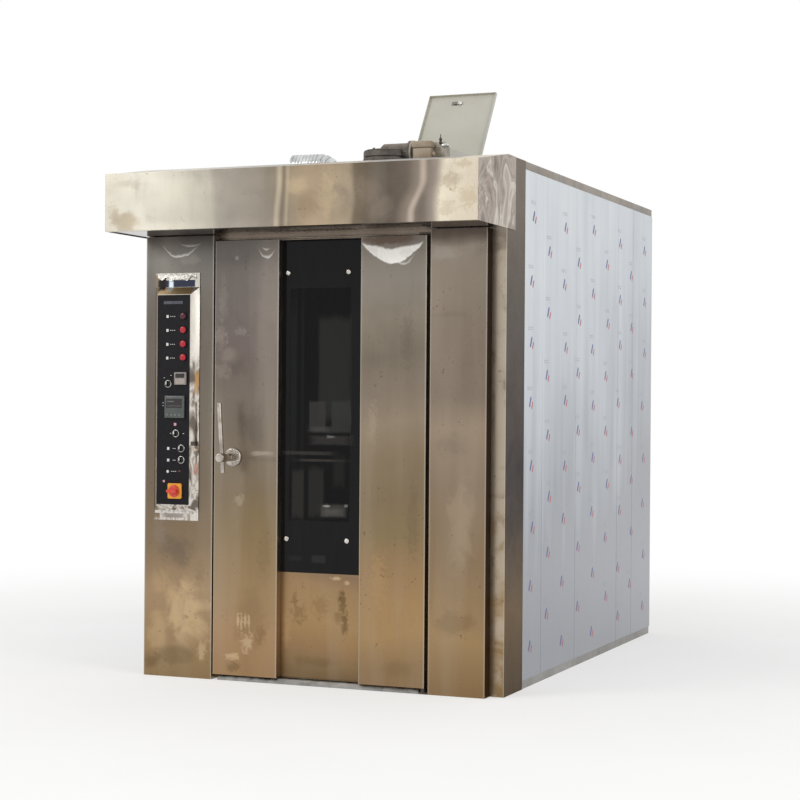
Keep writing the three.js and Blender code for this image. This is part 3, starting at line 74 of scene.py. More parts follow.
def add_node(tree, kind, inputs=()):
    """Adds a shader node. A socket given for an input is linked to it, a hex code becomes a colour, and
    any other value sets the input or the property of that name."""
    made = tree.nodes.new("ShaderNode" + kind)
    for key, value in dict(inputs).items():
        if isinstance(value, bpy.types.NodeSocket):
            tree.links.new(value, made.inputs[key])
        elif key == "stops":
            elements = made.color_ramp.elements
            while len(elements) < len(value):
                elements.new(0.5)
            for stop, (position, code) in zip(elements, value):
                stop.position = position
                stop.color = tone(code)
        elif isinstance(key, int) or key in made.inputs:
            made.inputs[key].default_value = tone(value) if isinstance(value, str) else value
        else:
            setattr(made, key, value)
    return made


def calc(tree, operation, *terms):
    """Result of one maths step on sockets and numbers."""
    return add_node(tree, "Math", {"operation": operation, **dict(enumerate(terms))}).outputs[0]


def remap(tree, source, span, to=(0.0, 1.0), smooth=False):
    """Carries a value from one span to another, held at both ends, in a straight or a soft step."""
    return add_node(tree, "MapRange", {
        "interpolation_type": "SMOOTHSTEP" if smooth else "LINEAR", "Value": source, "From Min": span[0],
        "From Max": span[1], "To Min": to[0], "To Max": to[1]}).outputs[0]


def noise(tree, place, scale, detail=2.0, roughness=0.5, distortion=0.0):
    """Cloud values at a place, with the scale counted per metre."""
    return add_node(tree, "TexNoise", {"Vector": place, "Scale": scale, "Detail": detail,
                                       "Roughness": roughness, "Distortion": distortion}).outputs["Fac"]


def scaled(tree, place, *factors):
    """A place with each axis scaled by its own factor."""
    return add_node(tree, "Mapping", {"Vector": place, "Scale": factors}).outputs[0]


def centred(tree, place, x, z, half_width, half_height):
    """A place counted from (x, z), in half widths and half heights, with the depth dropped."""
    return add_node(tree, "Mapping", {
        "Vector": place, "Location": (-x / half_width, 0.0, -z / half_height),
        "Scale": (1 / half_width, 0.0, 1 / half_height)}).outputs[0]


def parts_of(tree, vector):
    """The X, Y and Z sockets of a vector."""
    return add_node(tree, "SeparateXYZ", {"Vector": vector}).outputs


def ramp(tree, source, stops):
    """Colour found for a value between (position, hex code) stops."""
    return add_node(tree, "ValToRGB", {"Fac": source, "stops": stops}).outputs[0]


def overlay(tree, below, above, amount):
    """Lays one colour over another by an amount."""
    return add_node(tree, "Mix", {"data_type": "RGBA", 0: amount, 6: below, 7: above}).outputs[2]


def bumps(tree, height, strength, distance):
    """Normal of a surface with fine bumps of one height."""
    return add_node(tree, "Bump", {"Strength": strength, "Distance": distance,
                                   "Height": height}).outputs[0]


def new_material(name):
    """An empty node material, its tree, and the object coordinates that its patterns are placed by."""
    made = bpy.data.materials.new(name)
    made.use_nodes = True
    made.node_tree.nodes.clear()
    return made, made.node_tree, add_node(made.node_tree, "TexCoord").outputs["Object"]


def close_material(tree, inputs):
    """Ends a material in one principled surface."""
    shader = add_node(tree, "BsdfPrincipled", inputs)
    add_node(tree, "OutputMaterial", {"Surface": shader.outputs[0]})


def close_mixed(tree, share, first, second, end="OutputMaterial"):
    """Ends a tree in two shaders mixed by a share."""
    both = add_node(tree, "MixShader", {0: share, 1: first.outputs[0], 2: second.outputs[0]})
    add_node(tree, end, {"Surface": both.outputs[0]})


surround = bpy.data.worlds.new("surround")
bpy.context.scene.world = surround
surround.use_nodes = True
sky = surround.node_tree
sky.nodes.clear()
rays = add_node(sky, "LightPath").outputs
direct = calc(sky, "MAXIMUM", rays["Is Camera Ray"], rays["Is Transmission Ray"])
ambient = add_node(sky, "Background", {"Color": "#ffffff", "Strength": 0.66})
backdrop = add_node(sky, "Background", {"Color": "#ffffff", "Strength": 1.0})
close_mixed(sky, calc(sky, "MAXIMUM", direct, rays["Is Glossy Ray"]), ambient, backdrop, "OutputWorld")


def soft_lamp(name, place, aim, size, power):
    """A square area lamp at a place, turned to face a point."""
    lamp = bpy.data.objects.new(name, bpy.data.lights.new(name, "AREA"))
    bpy.context.scene.collection.objects.link(lamp)
    lamp.data.size = size
    lamp.data.energy = power
    back = np.array(place, float) - np.array(aim, float)
    back /= np.linalg.norm(back)
    side = np.cross([0.0, 0.0, 1.0], back)
    side /= np.linalg.norm(side)
    lamp.matrix_world = Matrix.Translation(place) @ Matrix(
        np.column_stack([side, np.cross(back, side), back]).tolist()).to_4x4()


soft_lamp("lamp_left", (-4.5, -6.0, 5.2), (0.0, -0.6, 1.2), 3.2, 190.0)
soft_lamp("lamp_right", (6.5, -3.5, 4.2), (0.4, 0.2, 1.2), 3.0, 120.0)

reach = np.linspace(-30.0, 30.0, 3)
floor_x, floor_y = np.meshgrid(reach, reach, indexing="ij")
floor_points = np.stack([floor_x, floor_y, np.full_like(floor_x, -0.0004)], -1).reshape(-1, 3)
floor_mesh = bpy.data.meshes.new("floor")
floor_mesh.from_pydata(floor_points.tolist(), [], [
    (i * 3 + j, (i + 1) * 3 + j, (i + 1) * 3 + j + 1, i * 3 + j + 1) for i in range(2) for j in range(2)])
floor = bpy.data.objects.new("floor", floor_mesh)
bpy.context.scene.collection.objects.link(floor)
pale_floor, tree, place = new_material("pale_floor")
shade = ramp(tree, noise(tree, place, 1.2, 3.0), [(0.3, "#f4f3f1"), (0.7, "#faf9f8")])
paper = add_node(tree, "BsdfDiffuse", {"Color": shade})
glow = add_node(tree, "Emission", {"Color": "#ffffff", "Strength": 1.0})
away = add_node(tree, "VectorMath", {"operation": "LENGTH", 0: place}).outputs["Value"]
close_mixed(tree, remap(tree, away, (1.2, 5.5), (0.50, 1.0), smooth=True), paper, glow)
floor_mesh.materials.append(pale_floor)


# ---------------------------------------------------------------- floor frame, rear skin, roof deck
# Welded rails, bolted rear sheets, the roof deck and the stand are hot-dip galvanised steel:
# zinc crystals a few centimetres wide give it a dull, cloudy grey with pale flakes.
def dress(node, material):
    """Gives a CAD piece its finish."""
    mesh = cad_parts[node].data
    mesh.materials.clear()
    mesh.materials.append(material)


def zinc_coat(name, pale, dark):
    """Zinc crystals 25 mm wide shift tone and gloss a little, over a cloudy stain."""
    made, tree, place = new_material(name)
    cells = add_node(tree, "TexVoronoi", {"Vector": place, "Scale": 40.0}).outputs["Color"]
    flake = add_node(tree, "RGBToBW", {0: cells}).outputs[0]
    both = calc(tree, "MULTIPLY_ADD", flake, 0.35, noise(tree, place, 3.5, 4.0))
    close_material(tree, {"Metallic": 1.0, "Base Color": ramp(tree, both, [(0.35, dark), (0.95, pale)]),
                          "Roughness": remap(tree, flake, (0.0, 1.0), (0.38, 0.62)),
                          "Normal": bumps(tree, flake, 0.08, 0.001)})
    return made


zinc_rail = zinc_coat("hot_dip_zinc_rails", "#aaa9a6", "#7f7d79")
zinc_skin = zinc_coat("zinc_sheet", "#b6b6b4", "#8e8f8f")
for node in ("base_frame", "enclosure_stand"):
    dress(node, zinc_rail)
for node in ("rear_panel", "rear_service_cover", "roof_deck"):
    dress(node, zinc_skin)


# ---------------------------------------------------------------- front portal and columns
# Folded from 3 mm stainless sheet with a fine vertical brush, the bends 4 mm round, the webs hollowed a
# little by welding. Their colours are painted reflection, grey toward the head and tan toward the foot.
front_plane = -980.15
ground_gap = 0.2
portal_half, portal_return, portal_top = 830, 230, 2200.0
column_top = 1899.7
proud_face, seam = -60, -0.3
gauge, fold_edge = 3.0, 0.5


def eased(corners, radius, steps=5, closed=False):
    """Line of corners, each rounded by a quadratic curve between points a radius away on both legs."""
    corners = np.asarray(corners, float)
    count = len(corners)
    line = []
    for i, corner in enumerate(corners):
        if not closed and i in (0, count - 1):
            line.append(corner[None])
            continue
        before, after = corners[i - 1] - corner, corners[(i + 1) % count] - corner
        lengths = np.linalg.norm(before), np.linalg.norm(after)
        trim = min(radius, lengths[0] * 0.45, lengths[1] * 0.45)
        start, end = corner + before / lengths[0] * trim, corner + after / lengths[1] * trim
        t = np.linspace(0.0, 1.0, steps + 1)[:, None]
        line.append((1 - t) ** 2 * start + 2 * t * (1 - t) * corner + t ** 2 * end)
    return np.concatenate(line)


def skin(rings, closed=True, caps=True):
    """Points and faces over rings of points: quads between neighbouring rings, a flat face on each end."""
    m, n = rings.shape[:2]
    i, j = np.meshgrid(np.arange(m - 1), np.arange(n if closed else n - 1), indexing="ij")
    k = (j + 1) % n
    faces = np.stack([i * n + j, i * n + k, (i + 1) * n + k, (i + 1) * n + j], -1).reshape(-1, 4).tolist()
    if caps:
        faces += [list(range(n))[::-1], list(range((m - 1) * n, m * n))]
    return rings.reshape(-1, 3), faces


def gathered(*shapes):
    """Several closed bodies as one set of points and faces."""
    points, faces, count = [], [], 0
    for shape_points, shape_faces in shapes:
        points.append(np.asarray(shape_points))
        faces += [[v + count for v in face] for face in shape_faces]
        count += len(shape_points)
    return np.concatenate(points), faces


def open_sheet(x, d, z):
    """Points and faces over one grid of places, open all round."""
    return skin(np.stack([x, d, z], -1), closed=False, caps=False)


def piece(name, shape, body, material, stands_for=(), thickness=0.0, edge=0.0, sharp=38):
    """Mesh from (x, depth, z) points and faces: doubles welded, faces turned outward unless it is open
    sheet, which is folded solid to its thickness; edge rounds what stays sharp."""
    points, faces = shape
    points = (np.asarray(points, float).reshape(-1, 3) + [0.0, front_plane, 0.0]) / 1000
    mesh = bpy.data.meshes.new(name)
    mesh.from_pydata(points.tolist(), [], [tuple(face) for face in faces])
    work = bmesh.new()
    work.from_mesh(mesh)
    bmesh.ops.remove_doubles(work, verts=work.verts, dist=1e-6)
    bmesh.ops.delete(work, geom=[v for v in work.verts if not v.link_faces], context="VERTS")
    if not thickness:
        bmesh.ops.recalc_face_normals(work, faces=work.faces)
    work.to_mesh(mesh)
    work.free()
    mesh.polygons.foreach_set("use_smooth", np.ones(len(mesh.polygons), bool))
    mesh.set_sharp_from_angle(angle=math.radians(sharp))
    mesh.materials.append(material)
    made = bpy.data.objects.new(name, mesh)
    bpy.context.scene.collection.objects.link(made)
    if thickness:
        folded = made.modifiers.new("sheet", "SOLIDIFY")
        folded.thickness = thickness / 1000
        folded.use_even_offset = True
    if edge:
        eased_edge = made.modifiers.new("edge", "BEVEL")
        eased_edge.width = edge / 1000
        eased_edge.segments = 2
        eased_edge.limit_method = "ANGLE"
        eased_edge.angle_limit = math.radians(50)
    if thickness or edge:
        made.modifiers.new("normals", "WEIGHTED_NORMAL").keep_sharp = True
    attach(made, body)
    if stands_for:
        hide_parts(*stands_for)
    return made


def ripple(a, b, length, seed):
    """Slow swell between -1 and 1: a sum of seven waves near one length, turned and shifted by the seed."""
    dice = np.random.default_rng(seed)
    total = np.zeros(np.broadcast(a, b).shape)
    for _ in range(7):
        heading, shift = dice.uniform(0, 2 * math.pi, 2)
        number = 2 * math.pi / (length * dice.uniform(0.6, 1.7))
        total = total + np.cos(number * (a * math.cos(heading) + b * math.sin(heading)) + shift)
    return total / 7


def bent_sheet(plan, low, high, wave=None, holes=(), ends=(), radius=4.0, step=26.0):
    """Open sheet bent in plan and drawn upward: the (x, depth) line has its bends rounded and is repeated
    at heights from low to high(x, depth); wave(x, depth, z) presses it in along its own normal, holes
    (x0, x1, depth0, depth1, z0, z1) stay open, and ends closes its foot (0) or head (1) with a flat face."""
    line = eased(plan, radius)
    run = np.concatenate([[0.0], np.cumsum(np.linalg.norm(np.diff(line, axis=0), axis=1))])
    cuts = []
    for hole in holes:
        for way, limit in zip((0, 0, 1, 1), hole):
            before, after = line[:-1, way] - limit, line[1:, way] - limit
            over = before * after < 0
            cuts += (run[:-1] + np.diff(run) * before / np.where(over, before - after, 1.0))[over].tolist()
    marks = np.unique(np.round(np.concatenate([run, cuts]), 6))
    fill = [np.linspace(a, b, int((b - a) // step) + 2)[1:-1] for a, b in zip(marks, marks[1:])]
    along = np.sort(np.concatenate([marks, *fill]))
    x, d = (np.interp(along, run, line[:, i]) for i in (0, 1))
    slope = np.gradient(np.stack([x, d], -1), along, axis=0)
    slope /= np.linalg.norm(slope, axis=1)[:, None]
    inward = np.stack([-slope[:, 1], slope[:, 0]], -1)
    top = high(x, d) if callable(high) else np.full_like(x, high)
    edges = sorted({low, *(max(z, low) for hole in holes for z in hole[4:])})
    heights = [np.linspace(a, b, int((b - a) // (1.6 * step)) + 2)[:-1]
               for a, b in zip(edges, edges[1:] + [top.min()])]
    share = (np.concatenate(heights + [[top.min()]]) - low) / (top.min() - low)
    z = low + share[:, None] * (top - low)
    x, d = np.broadcast_to(x, z.shape), np.broadcast_to(d, z.shape)
    if wave:
        press = wave(x, d, z)
        x, d = x + press * inward[:, 0], d + press * inward[:, 1]
    points, faces = open_sheet(x, d, z)
    for x0, x1, d0, d1, z0, z1 in holes:
        middle = points[np.array(faces)].mean(axis=1)
        within = ((middle > [x0, d0, z0]) & (middle < [x1, d1, z1])).all(axis=1)
        faces = [face for face, gone in zip(faces, within) if not gone]
    last, count = len(z) - 1, len(along)
    if 0 in ends:
        faces.append(list(range(count))[::-1])
    if 1 in ends:
        faces.append(list(range(last * count, (last + 1) * count)))
    return points, faces


def brushed_stainless(name, tones, low, high, axis="Z", gloss_at=0.27, glints=(), folds=(), painted_reflection_lines=(),
                      stains_and_painted_light=()):
    """Stainless sheet whose colour carries painted reflection: tones run along an axis between two places in
    metres and stand for what the steel mirrors; vertical brush lines and slow streaks vary them; the stain
    list holds soft darker or lighter clouds (x, z, width, height, colour, amount), the small ones speckled,
    real stains mixed with painted reflections, highlights and shade; glints are painted highlights,
    lens-shaped and hanging in a bow (x, z of their ends, half width, drop, thickness, amount); folds are x
    places given a thin painted highlight line; the swoop list holds painted reflections drawn as soft lines
    (x at the foot, x at the head, z of the foot, z of the head, half width, colour, amount) that lean over
    in an S."""
    made, tree, place = new_material(name)
    split = parts_of(tree, place)
    drift = 0.26
    shifted = calc(tree, "MULTIPLY_ADD", noise(tree, place, 1.4, 3.0), drift, split[axis])
    colour = ramp(tree, remap(tree, shifted, (low + drift / 2, high + drift / 2)), tones)
    wobble = noise(tree, place, 9.0, 8.0, 0.6, 0.6)
    speckle = noise(tree, place, 45.0, 6.0, 0.6, 0.8)
    # The clouds are real stains mixed with painted reflections, highlights and shade.
    for x, z, width, height, blotch, amount in stains_and_painted_light:
        away = add_node(tree, "VectorMath", {
            "operation": "LENGTH", 0: centred(tree, place, x, z, width, height)}).outputs["Value"]
        small = width < 0.06
        ragged = calc(tree, "MULTIPLY_ADD", speckle if small else wobble, 2.4, away)
        cover = remap(tree, ragged, (2.15, 1.45), (0.0, amount), smooth=True)
        colour = overlay(tree, colour, blotch, cover)
    streak = noise(tree, scaled(tree, place, 8.0, 8.0, 0.9), 1.0, 2.0, 0.4)
    patchy = calc(tree, "MULTIPLY_ADD", wobble, 0.5, noise(tree, place, 70.0, 3.0))
    grain = noise(tree, scaled(tree, place, 300.0, 300.0, 4.0), 1.0)
    for pattern, span, tint, most in [
            (streak, (0.50, 0.75), "#b8ad9e", 0.20), (streak, (0.45, 0.22), "#4d453d", 0.12),
            (patchy, (0.93, 1.02), "#5a4630", 0.45), (grain, (0.42, 0.18), "#3b352f", 0.13)]:
        colour = overlay(tree, colour, tint, remap(tree, pattern, span, (0.0, most)))
    uneven = 0.05
    # Glints: painted highlights where soft dents near a sheet's head catch the light.
    for x, z, half, deep, thick, amount in glints:
        share = calc(tree, "MULTIPLY", calc(tree, "SUBTRACT", split["X"], x), 1 / half)
        bow = calc(tree, "SUBTRACT", 1.0, calc(tree, "MULTIPLY", share, share))
        height = calc(tree, "ADD", split["Z"],
                      calc(tree, "MULTIPLY_ADD", wobble, uneven, -z - uneven / 2))
        low_edge = calc(tree, "MULTIPLY_ADD", bow, deep, height)
        high_edge = calc(tree, "MULTIPLY_ADD", bow, deep - thick, height)
        whole = calc(tree, "MULTIPLY", remap(tree, low_edge, (0.0, 0.007), smooth=True),
                     remap(tree, high_edge, (0.0, -0.012), (0.0, amount), smooth=True))
        cover = calc(tree, "MULTIPLY", whole, remap(tree, wobble, (0.35, 0.55), (0.6, 1.0)))
        colour = overlay(tree, colour, "#f3f0ea", cover)
    # Folds get a painted highlight line; swoops are painted reflections.
    lit_folds = [(x, x, 0.0, 1.0, 0.007, "#c9c2b6", 0.36) for x in folds]
    for foot_x, head_x, foot_z, head_z, half, tint, amount in [*lit_folds, *painted_reflection_lines]:
        middle = remap(tree, split["Z"], (foot_z, head_z), (foot_x, head_x), smooth=True)
        gap = calc(tree, "ABSOLUTE", calc(tree, "SUBTRACT", split["X"], middle))
        colour = overlay(tree, colour, tint, remap(tree, gap, (half, 0.0), (0.0, amount), smooth=True))
    close_material(tree, {"Metallic": 1.0, "Base Color": colour,
                          "Roughness": remap(tree, wobble, (0.35, 0.70), (gloss_at, gloss_at + 0.14)),
                          "Normal": bumps(tree, grain, 0.12, 0.0004)})
    return made


def hollowed(x0, x1, z0, z1, deep, seed):
    """Press for a web between its edges: nothing at the rim, a slow swell up to deep in the middle."""
    def wave(x, d, z):
        u = np.clip((2 * x - x0 - x1) / (x1 - x0), -1, 1)
        v = np.clip((2 * z - z0 - z1) / (z1 - z0), -1, 1)
        window = (1 - u ** 4) * (1 - v ** 12)
        return deep * window * (0.5 + 0.5 * ripple(x, z, 420.0, seed))
    return wave


# Painted reflection along the portal: tan toward the foot, grey toward the head; the pale cloud by the right
# return is a painted highlight that lifts the shade there.
portal_tones = [(0.0, "#8c7350"), (0.18, "#a08561"), (0.38, "#8b7860"), (0.60, "#84776a"),
                (0.85, "#8f8275"), (1.0, "#7b6f64")]
portal_steel = brushed_stainless("brushed_stainless_portal", portal_tones, 0.0, 2.2, folds=(0.829, -0.829),
                                 stains_and_painted_light=[(0.80, 1.2, 0.10, 1.6, "#bfb2a0", 0.7)])


def side_painted_light(material, tones, low, high, ragged=0.0, scale=4.0, grazing=1.0):
    """Gives the parts of a sheet that face sideways tones of their own, painted reflection and shade: along
    z, or by clouds if low is None; grazing dims what the sheet mirrors at a flat angle."""
    tree = material.node_tree
    shader = next(node for node in tree.nodes if node.type == "BSDF_PRINCIPLED")
    front = shader.inputs["Base Color"].links[0].from_socket
    coords = add_node(tree, "TexCoord").outputs
    sideways = calc(tree, "ABSOLUTE", parts_of(tree, coords["Normal"])["X"])
    source = noise(tree, coords["Object"], scale, 3.0, distortion=1.3)
    if low is not None:
        moved = calc(tree, "MULTIPLY_ADD", source, ragged, parts_of(tree, coords["Object"])["Z"])
        source = remap(tree, moved, (low + ragged / 2, high + ragged / 2))
    both = overlay(tree, front, ramp(tree, source, tones), remap(tree, sideways, (0.45, 0.8)))
    tree.links.new(both, shader.inputs["Base Color"])
    shader.inputs["Specular Tint"].default_value = (grazing, grazing, grazing, 1.0)


# Painted shade and reflection on the portal's returns, dark brown.
side_painted_light(portal_steel, [(0.0, "#5e4d38"), (0.15, "#776248"), (0.32, "#4a4038"), (0.42, "#3f3836"),
                          (0.50, "#4e4640"), (0.65, "#5d564f"), (0.80, "#6b6259"), (0.90, "#7d7368"),
                          (1.0, "#82776b")], 0.0, 2.2, 0.12, grazing=0.62)


def return_press(x, d, z):
    """The portal's returns hollow in by 1.2 mm at most; its front stays flat."""
    swell = 1.2 * (0.5 + 0.5 * ripple(d, z, 260.0, 4))
    return np.where(np.abs(x) > 826, swell * (d > 12) * (d < 218), 0.0)


portal = bent_sheet([(-portal_half, portal_return), (-portal_half, 0), (portal_half, 0),
                     (portal_half, portal_return)], ground_gap, portal_top, return_press,
                    holes=[(-445, 480, -5, 5, -10, 1852)])
piece("portal_sheet", portal, "cabinet", portal_steel, ["front_frame"], gauge, fold_edge)

# Painted reflection down the left column, tan toward the foot and grey higher up; the last dark stops are
# painted shade under the canopy, the glints painted highlights, and the clouds real stains mixed with
# painted reflections.
left_tones = [(0.0, "#8f7857"), (0.08, "#9b8160"), (0.20, "#a1886a"), (0.32, "#86735c"),
              (0.45, "#756858"), (0.62, "#6e665c"), (0.82, "#6d665e"), (0.945, "#74716c"),
              (0.985, "#4f4a46"), (1.0, "#4a4541")]
left_steel = brushed_stainless(
    "brushed_stainless_left_column", left_tones, 0.0, 1.90, folds=(-0.8035, -0.4755),
    glints=[(-0.635, 1.893, 0.115, 0.085, 0.018, 0.55), (-0.59, 1.885, 0.07, 0.035, 0.016, 0.35)],
    stains_and_painted_light=[(-0.60, 1.80, 0.07, 0.03, "#918b84", 0.5), (-0.65, 0.54, 0.10, 0.09, "#6f6153", 0.7),
            (-0.73, 0.62, 0.05, 0.10, "#8a7d6f", 0.5), (-0.59, 0.27, 0.13, 0.18, "#c6aa84", 0.8),
            (-0.71, 0.40, 0.09, 0.10, "#b29772", 0.6), (-0.73, 0.20, 0.06, 0.12, "#bfa27c", 0.6),
            (-0.64, 0.10, 0.12, 0.05, "#7f694b", 0.7), (-0.53, 0.46, 0.04, 0.07, "#8b7559", 0.6),
            (-0.76, 0.06, 0.06, 0.05, "#6f5a40", 0.6), (-0.52, 0.12, 0.03, 0.06, "#cdb48f", 0.5)])
left_column = bent_sheet(
    [(-785, seam), (-805, seam), (-805, proud_face), (-474, proud_face), (-474, seam), (-494, seam)],
    ground_gap, column_top, wave=hollowed(-805, -474, 0, 1900, 1.6, 11),
    holes=[(-725, -571, -65, -55, 748, 1644), (-480, -470, -54.5, -43.5, 876, 968)])
piece("left_column_sheet", left_column, "cabinet", left_steel, ["left_column"],
      gauge, fold_edge)

# Painted reflection down the right column, tan toward the foot and grey higher up; the last dark stops are
# painted shade under the canopy and the clouds real stains mixed with painted reflections.
right_tones = [(0.0, "#8b7150"), (0.12, "#a0845f"), (0.30, "#8a755b"), (0.46, "#857460"),
               (0.56, "#93816e"), (0.62, "#7d7062"), (0.80, "#7d7165"), (0.92, "#887d70"),
               (0.965, "#94897c"), (0.985, "#685d54"), (1.0, "#5c514a")]
right_steel = brushed_stainless(
    "brushed_stainless_right_column", right_tones, 0.0, 1.90, folds=(0.5215, 0.7665),
    stains_and_painted_light=[(0.60, 1.55, 0.10, 0.02, "#726458", 0.35), (0.66, 0.70, 0.08, 0.25, "#a8957c", 0.35),
            (0.57, 1.80, 0.06, 0.04, "#a39a90", 0.5), (0.70, 1.30, 0.05, 0.20, "#75695d", 0.4),
            (0.60, 1.02, 0.09, 0.07, "#6f6458", 0.4), (0.64, 0.30, 0.10, 0.10, "#7d6749", 0.5)])
# Painted shade on the column's sideways faces.
side_painted_light(right_steel, [(0.0, "#5a4630"), (0.3, "#4a3f34"), (1.0, "#453c35")], 0.0, 1.9, 0.1, grazing=0.5)
right_column = bent_sheet(
    [(540, seam), (520, seam), (520, proud_face), (768, proud_face), (768, seam), (748, seam)],
    ground_gap, column_top, wave=hollowed(520, 768, 0, 1900, 1.4, 12))
piece("right_column_sheet", right_column, "cabinet", right_steel, ["right_column"],
      gauge, fold_edge)
# Painted reflection: the rim is dark, darkest toward its foot.
rim_steel = brushed_stainless("brushed_stainless_rim", [(0.0, "#5f564d"), (1.0, "#8b8277")], 2.1, 2.2)
dress("roof_rim", rim_steel)


# ---------------------------------------------------------------- side panels
# Stainless pans still under their pale blue-white protective film, which lies flat but for faint
# upright tension lines. The film carries small printed marks, here plain slanted bars and dashes.
blue_film, tree, place = new_material("protective_film")
split = parts_of(tree, place)
cloud = noise(tree, place, 1.1, 3.0)
pull = noise(tree, scaled(tree, place, 1.0, 9.0, 0.7), 1.0, 3.0)
# Painted shade: the film grows darker toward its foot and toward the rear.
rise = remap(tree, split["Z"], (0.0, 2.1), (0.58, -0.14))
rear = remap(tree, split["Y"], (-0.7, 1.3), (0.0, 0.22))
mixed = calc(tree, "MULTIPLY_ADD", pull, 0.55, calc(tree, "ADD", rise, rear))
mixed = calc(tree, "MULTIPLY_ADD", cloud, 0.40, mixed)
close_material(tree, {
    "Metallic": 0.0, "Coat Weight": 0.4, "Coat Roughness": 0.12,
    "Base Color": ramp(tree, mixed, [(0.32, "#c6ccd0"), (0.60, "#b0b7be"), (0.95, "#7f838b")]),
    "Roughness": remap(tree, cloud, (0.0, 1.0), (0.22, 0.40)), "Normal": bumps(tree, pull, 0.25, 0.003)})
for node in ("left_side_panel", "right_side_panel"):
    dress(node, blue_film)


def plain_finish(name, pale, dark, scale, rough, metallic=0.0, bump=0.0, coat=0.0, shine=0.5):
    """Even finish that varies a little: two tones mixed by a cloud of the given scale per metre."""
    made, tree, place = new_material(name)
    cloud = noise(tree, place, scale, 4.0)
    close_material(tree, {
        "Metallic": metallic, "Coat Weight": coat, "Coat Roughness": 0.1, "Specular IOR Level": shine,
        "Base Color": ramp(tree, cloud, [(0.35, dark), (0.65, pale)]),
        "Roughness": remap(tree, cloud, (0.0, 1.0), (max(rough - 0.08, 0.02), rough + 0.08)),
        "Normal": bumps(tree, noise(tree, place, scale * 14), bump, 0.0006)})
    return made


def bars(spots, length, width, turn_deg, side):
    """Flat round-ended bars on a side panel at (depth, z) spots: two half circles joined, 0.25 mm thick."""
    angle = np.concatenate([np.linspace(-90, 90, 7), np.linspace(90, 270, 7)])
    outline = np.stack([np.where(np.arange(14) < 7, 1, -1) * (length - width) / 2
                        + width / 2 * np.cos(np.radians(angle)), width / 2 * np.sin(np.radians(angle))], -1)
    c, s = math.cos(math.radians(turn_deg)), math.sin(math.radians(turn_deg))
    outline = outline @ np.array([[c, s], [-s, c]])
    flush, proud = portal_half - 0.1, portal_half + 0.15
    return gathered(*(skin(np.stack([np.column_stack([np.full(14, side * x), outline + spot])
                                     for x in (flush, proud)])) for spot in spots))


print_blue = plain_finish("blue_film_print", "#3b478c", "#2b3574", 60.0, 0.35)
print_red = plain_finish("red_film_print", "#b9474f", "#9c333d", 60.0, 0.35)
print_grey = plain_finish("grey_film_print", "#8f969f", "#7d848f", 60.0, 0.35)
for side, side_name in ((-1, "left"), (1, "right")):
    dice = np.random.default_rng(7 + side)
    columns, rows = np.meshgrid(np.arange(9), np.arange(8), indexing="ij")
    spots = np.stack([330 + 228 * columns, 150 + 262 * rows + 131 * (columns % 2)], -1).reshape(-1, 2)
    spots = spots + dice.uniform(-22, 22, spots.shape)
    spots = spots[spots[:, 1] < 2090]
    piece(f"{side_name}_film_blue", bars(spots, 50, 15, 62, side), "cabinet", print_blue)
    piece(f"{side_name}_film_red", bars(spots + [26, -14], 36, 13, 62, side), "cabinet",
          print_red)
    dashes = np.concatenate([spots + [step, 62 - 9 * row] for row in range(2) for step in (-30, -8, 14)])
    piece(f"{side_name}_film_dashes", bars(dashes, 15, 4, 0, side), "cabinet", print_grey)


# ---------------------------------------------------------------- canopy
# One thin brushed sheet bent round the front and both ends, with a folded lip along its top edge and a
# flange below; the ends are dented. Its tones across the front and on the dented ends are painted
# reflections. Its underside is polished, and its dark colour is a painted reflection of the dark space
# below.
# Painted reflections across the canopy front: pale at the left, dark brown right of the middle, pale again
# at the right; the leaning lines are painted reflections and the clouds real stains mixed with painted
# reflections.
hood_steel = brushed_stainless(
    "brushed_stainless_canopy",
    [(0.0, "#bbb6a8"), (0.12, "#c6c1b4"), (0.20, "#b7b2a4"), (0.284, "#a39e92"), (0.302, "#938d82"),
     (0.43, "#867e73"), (0.47, "#7f7667"), (0.55, "#9e8c75"), (0.655, "#938570"), (0.668, "#6c6151"),
     (0.74, "#574f47"), (0.80, "#645a50"), (0.86, "#71675d"), (0.892, "#857a70"), (0.918, "#dad0bb"),
     (1.0, "#d2c7b3")], -0.833, 0.833, axis="X", folds=(0.8315,),
    painted_reflection_lines=[(-0.034, -0.020, 1.92, 2.10, 0.020, "#b5a893", 0.6),
            (-0.010, 0.000, 1.92, 2.10, 0.011, "#6b6255", 0.6),
            (0.010, 0.018, 1.92, 2.10, 0.012, "#b0a38c", 0.4),
            (0.535, 0.590, 1.93, 2.07, 0.060, "#8b7f73", 0.75),
            (0.552, 0.604, 1.93, 2.07, 0.024, "#bfb1a3", 0.6),
            (0.640, 0.655, 1.92, 2.10, 0.030, "#9c8f86", 0.4)],
    stains_and_painted_light=[(-0.72, 1.94, 0.10, 0.05, "#a3947c", 0.7), (-0.79, 1.97, 0.04, 0.06, "#a69a86", 0.7),
            (-0.72, 2.10, 0.10, 0.03, "#a9a193", 0.6), (0.06, 2.06, 0.07, 0.06, "#bda988", 0.5),
            (0.10, 1.98, 0.07, 0.09, "#86735a", 0.5), (0.19, 2.03, 0.05, 0.14, "#b3a183", 0.4),
            (0.33, 2.03, 0.14, 0.09, "#7d7063", 0.6), (0.43, 1.96, 0.08, 0.07, "#7c6f62", 0.5),
            (0.72, 2.06, 0.055, 0.055, "#ab9b84", 0.55), (0.79, 1.99, 0.055, 0.07, "#b5a286", 0.5),
            (0.70, 1.95, 0.05, 0.05, "#b9a892", 0.4), (0.77, 2.12, 0.05, 0.03, "#b3a288", 0.5)])
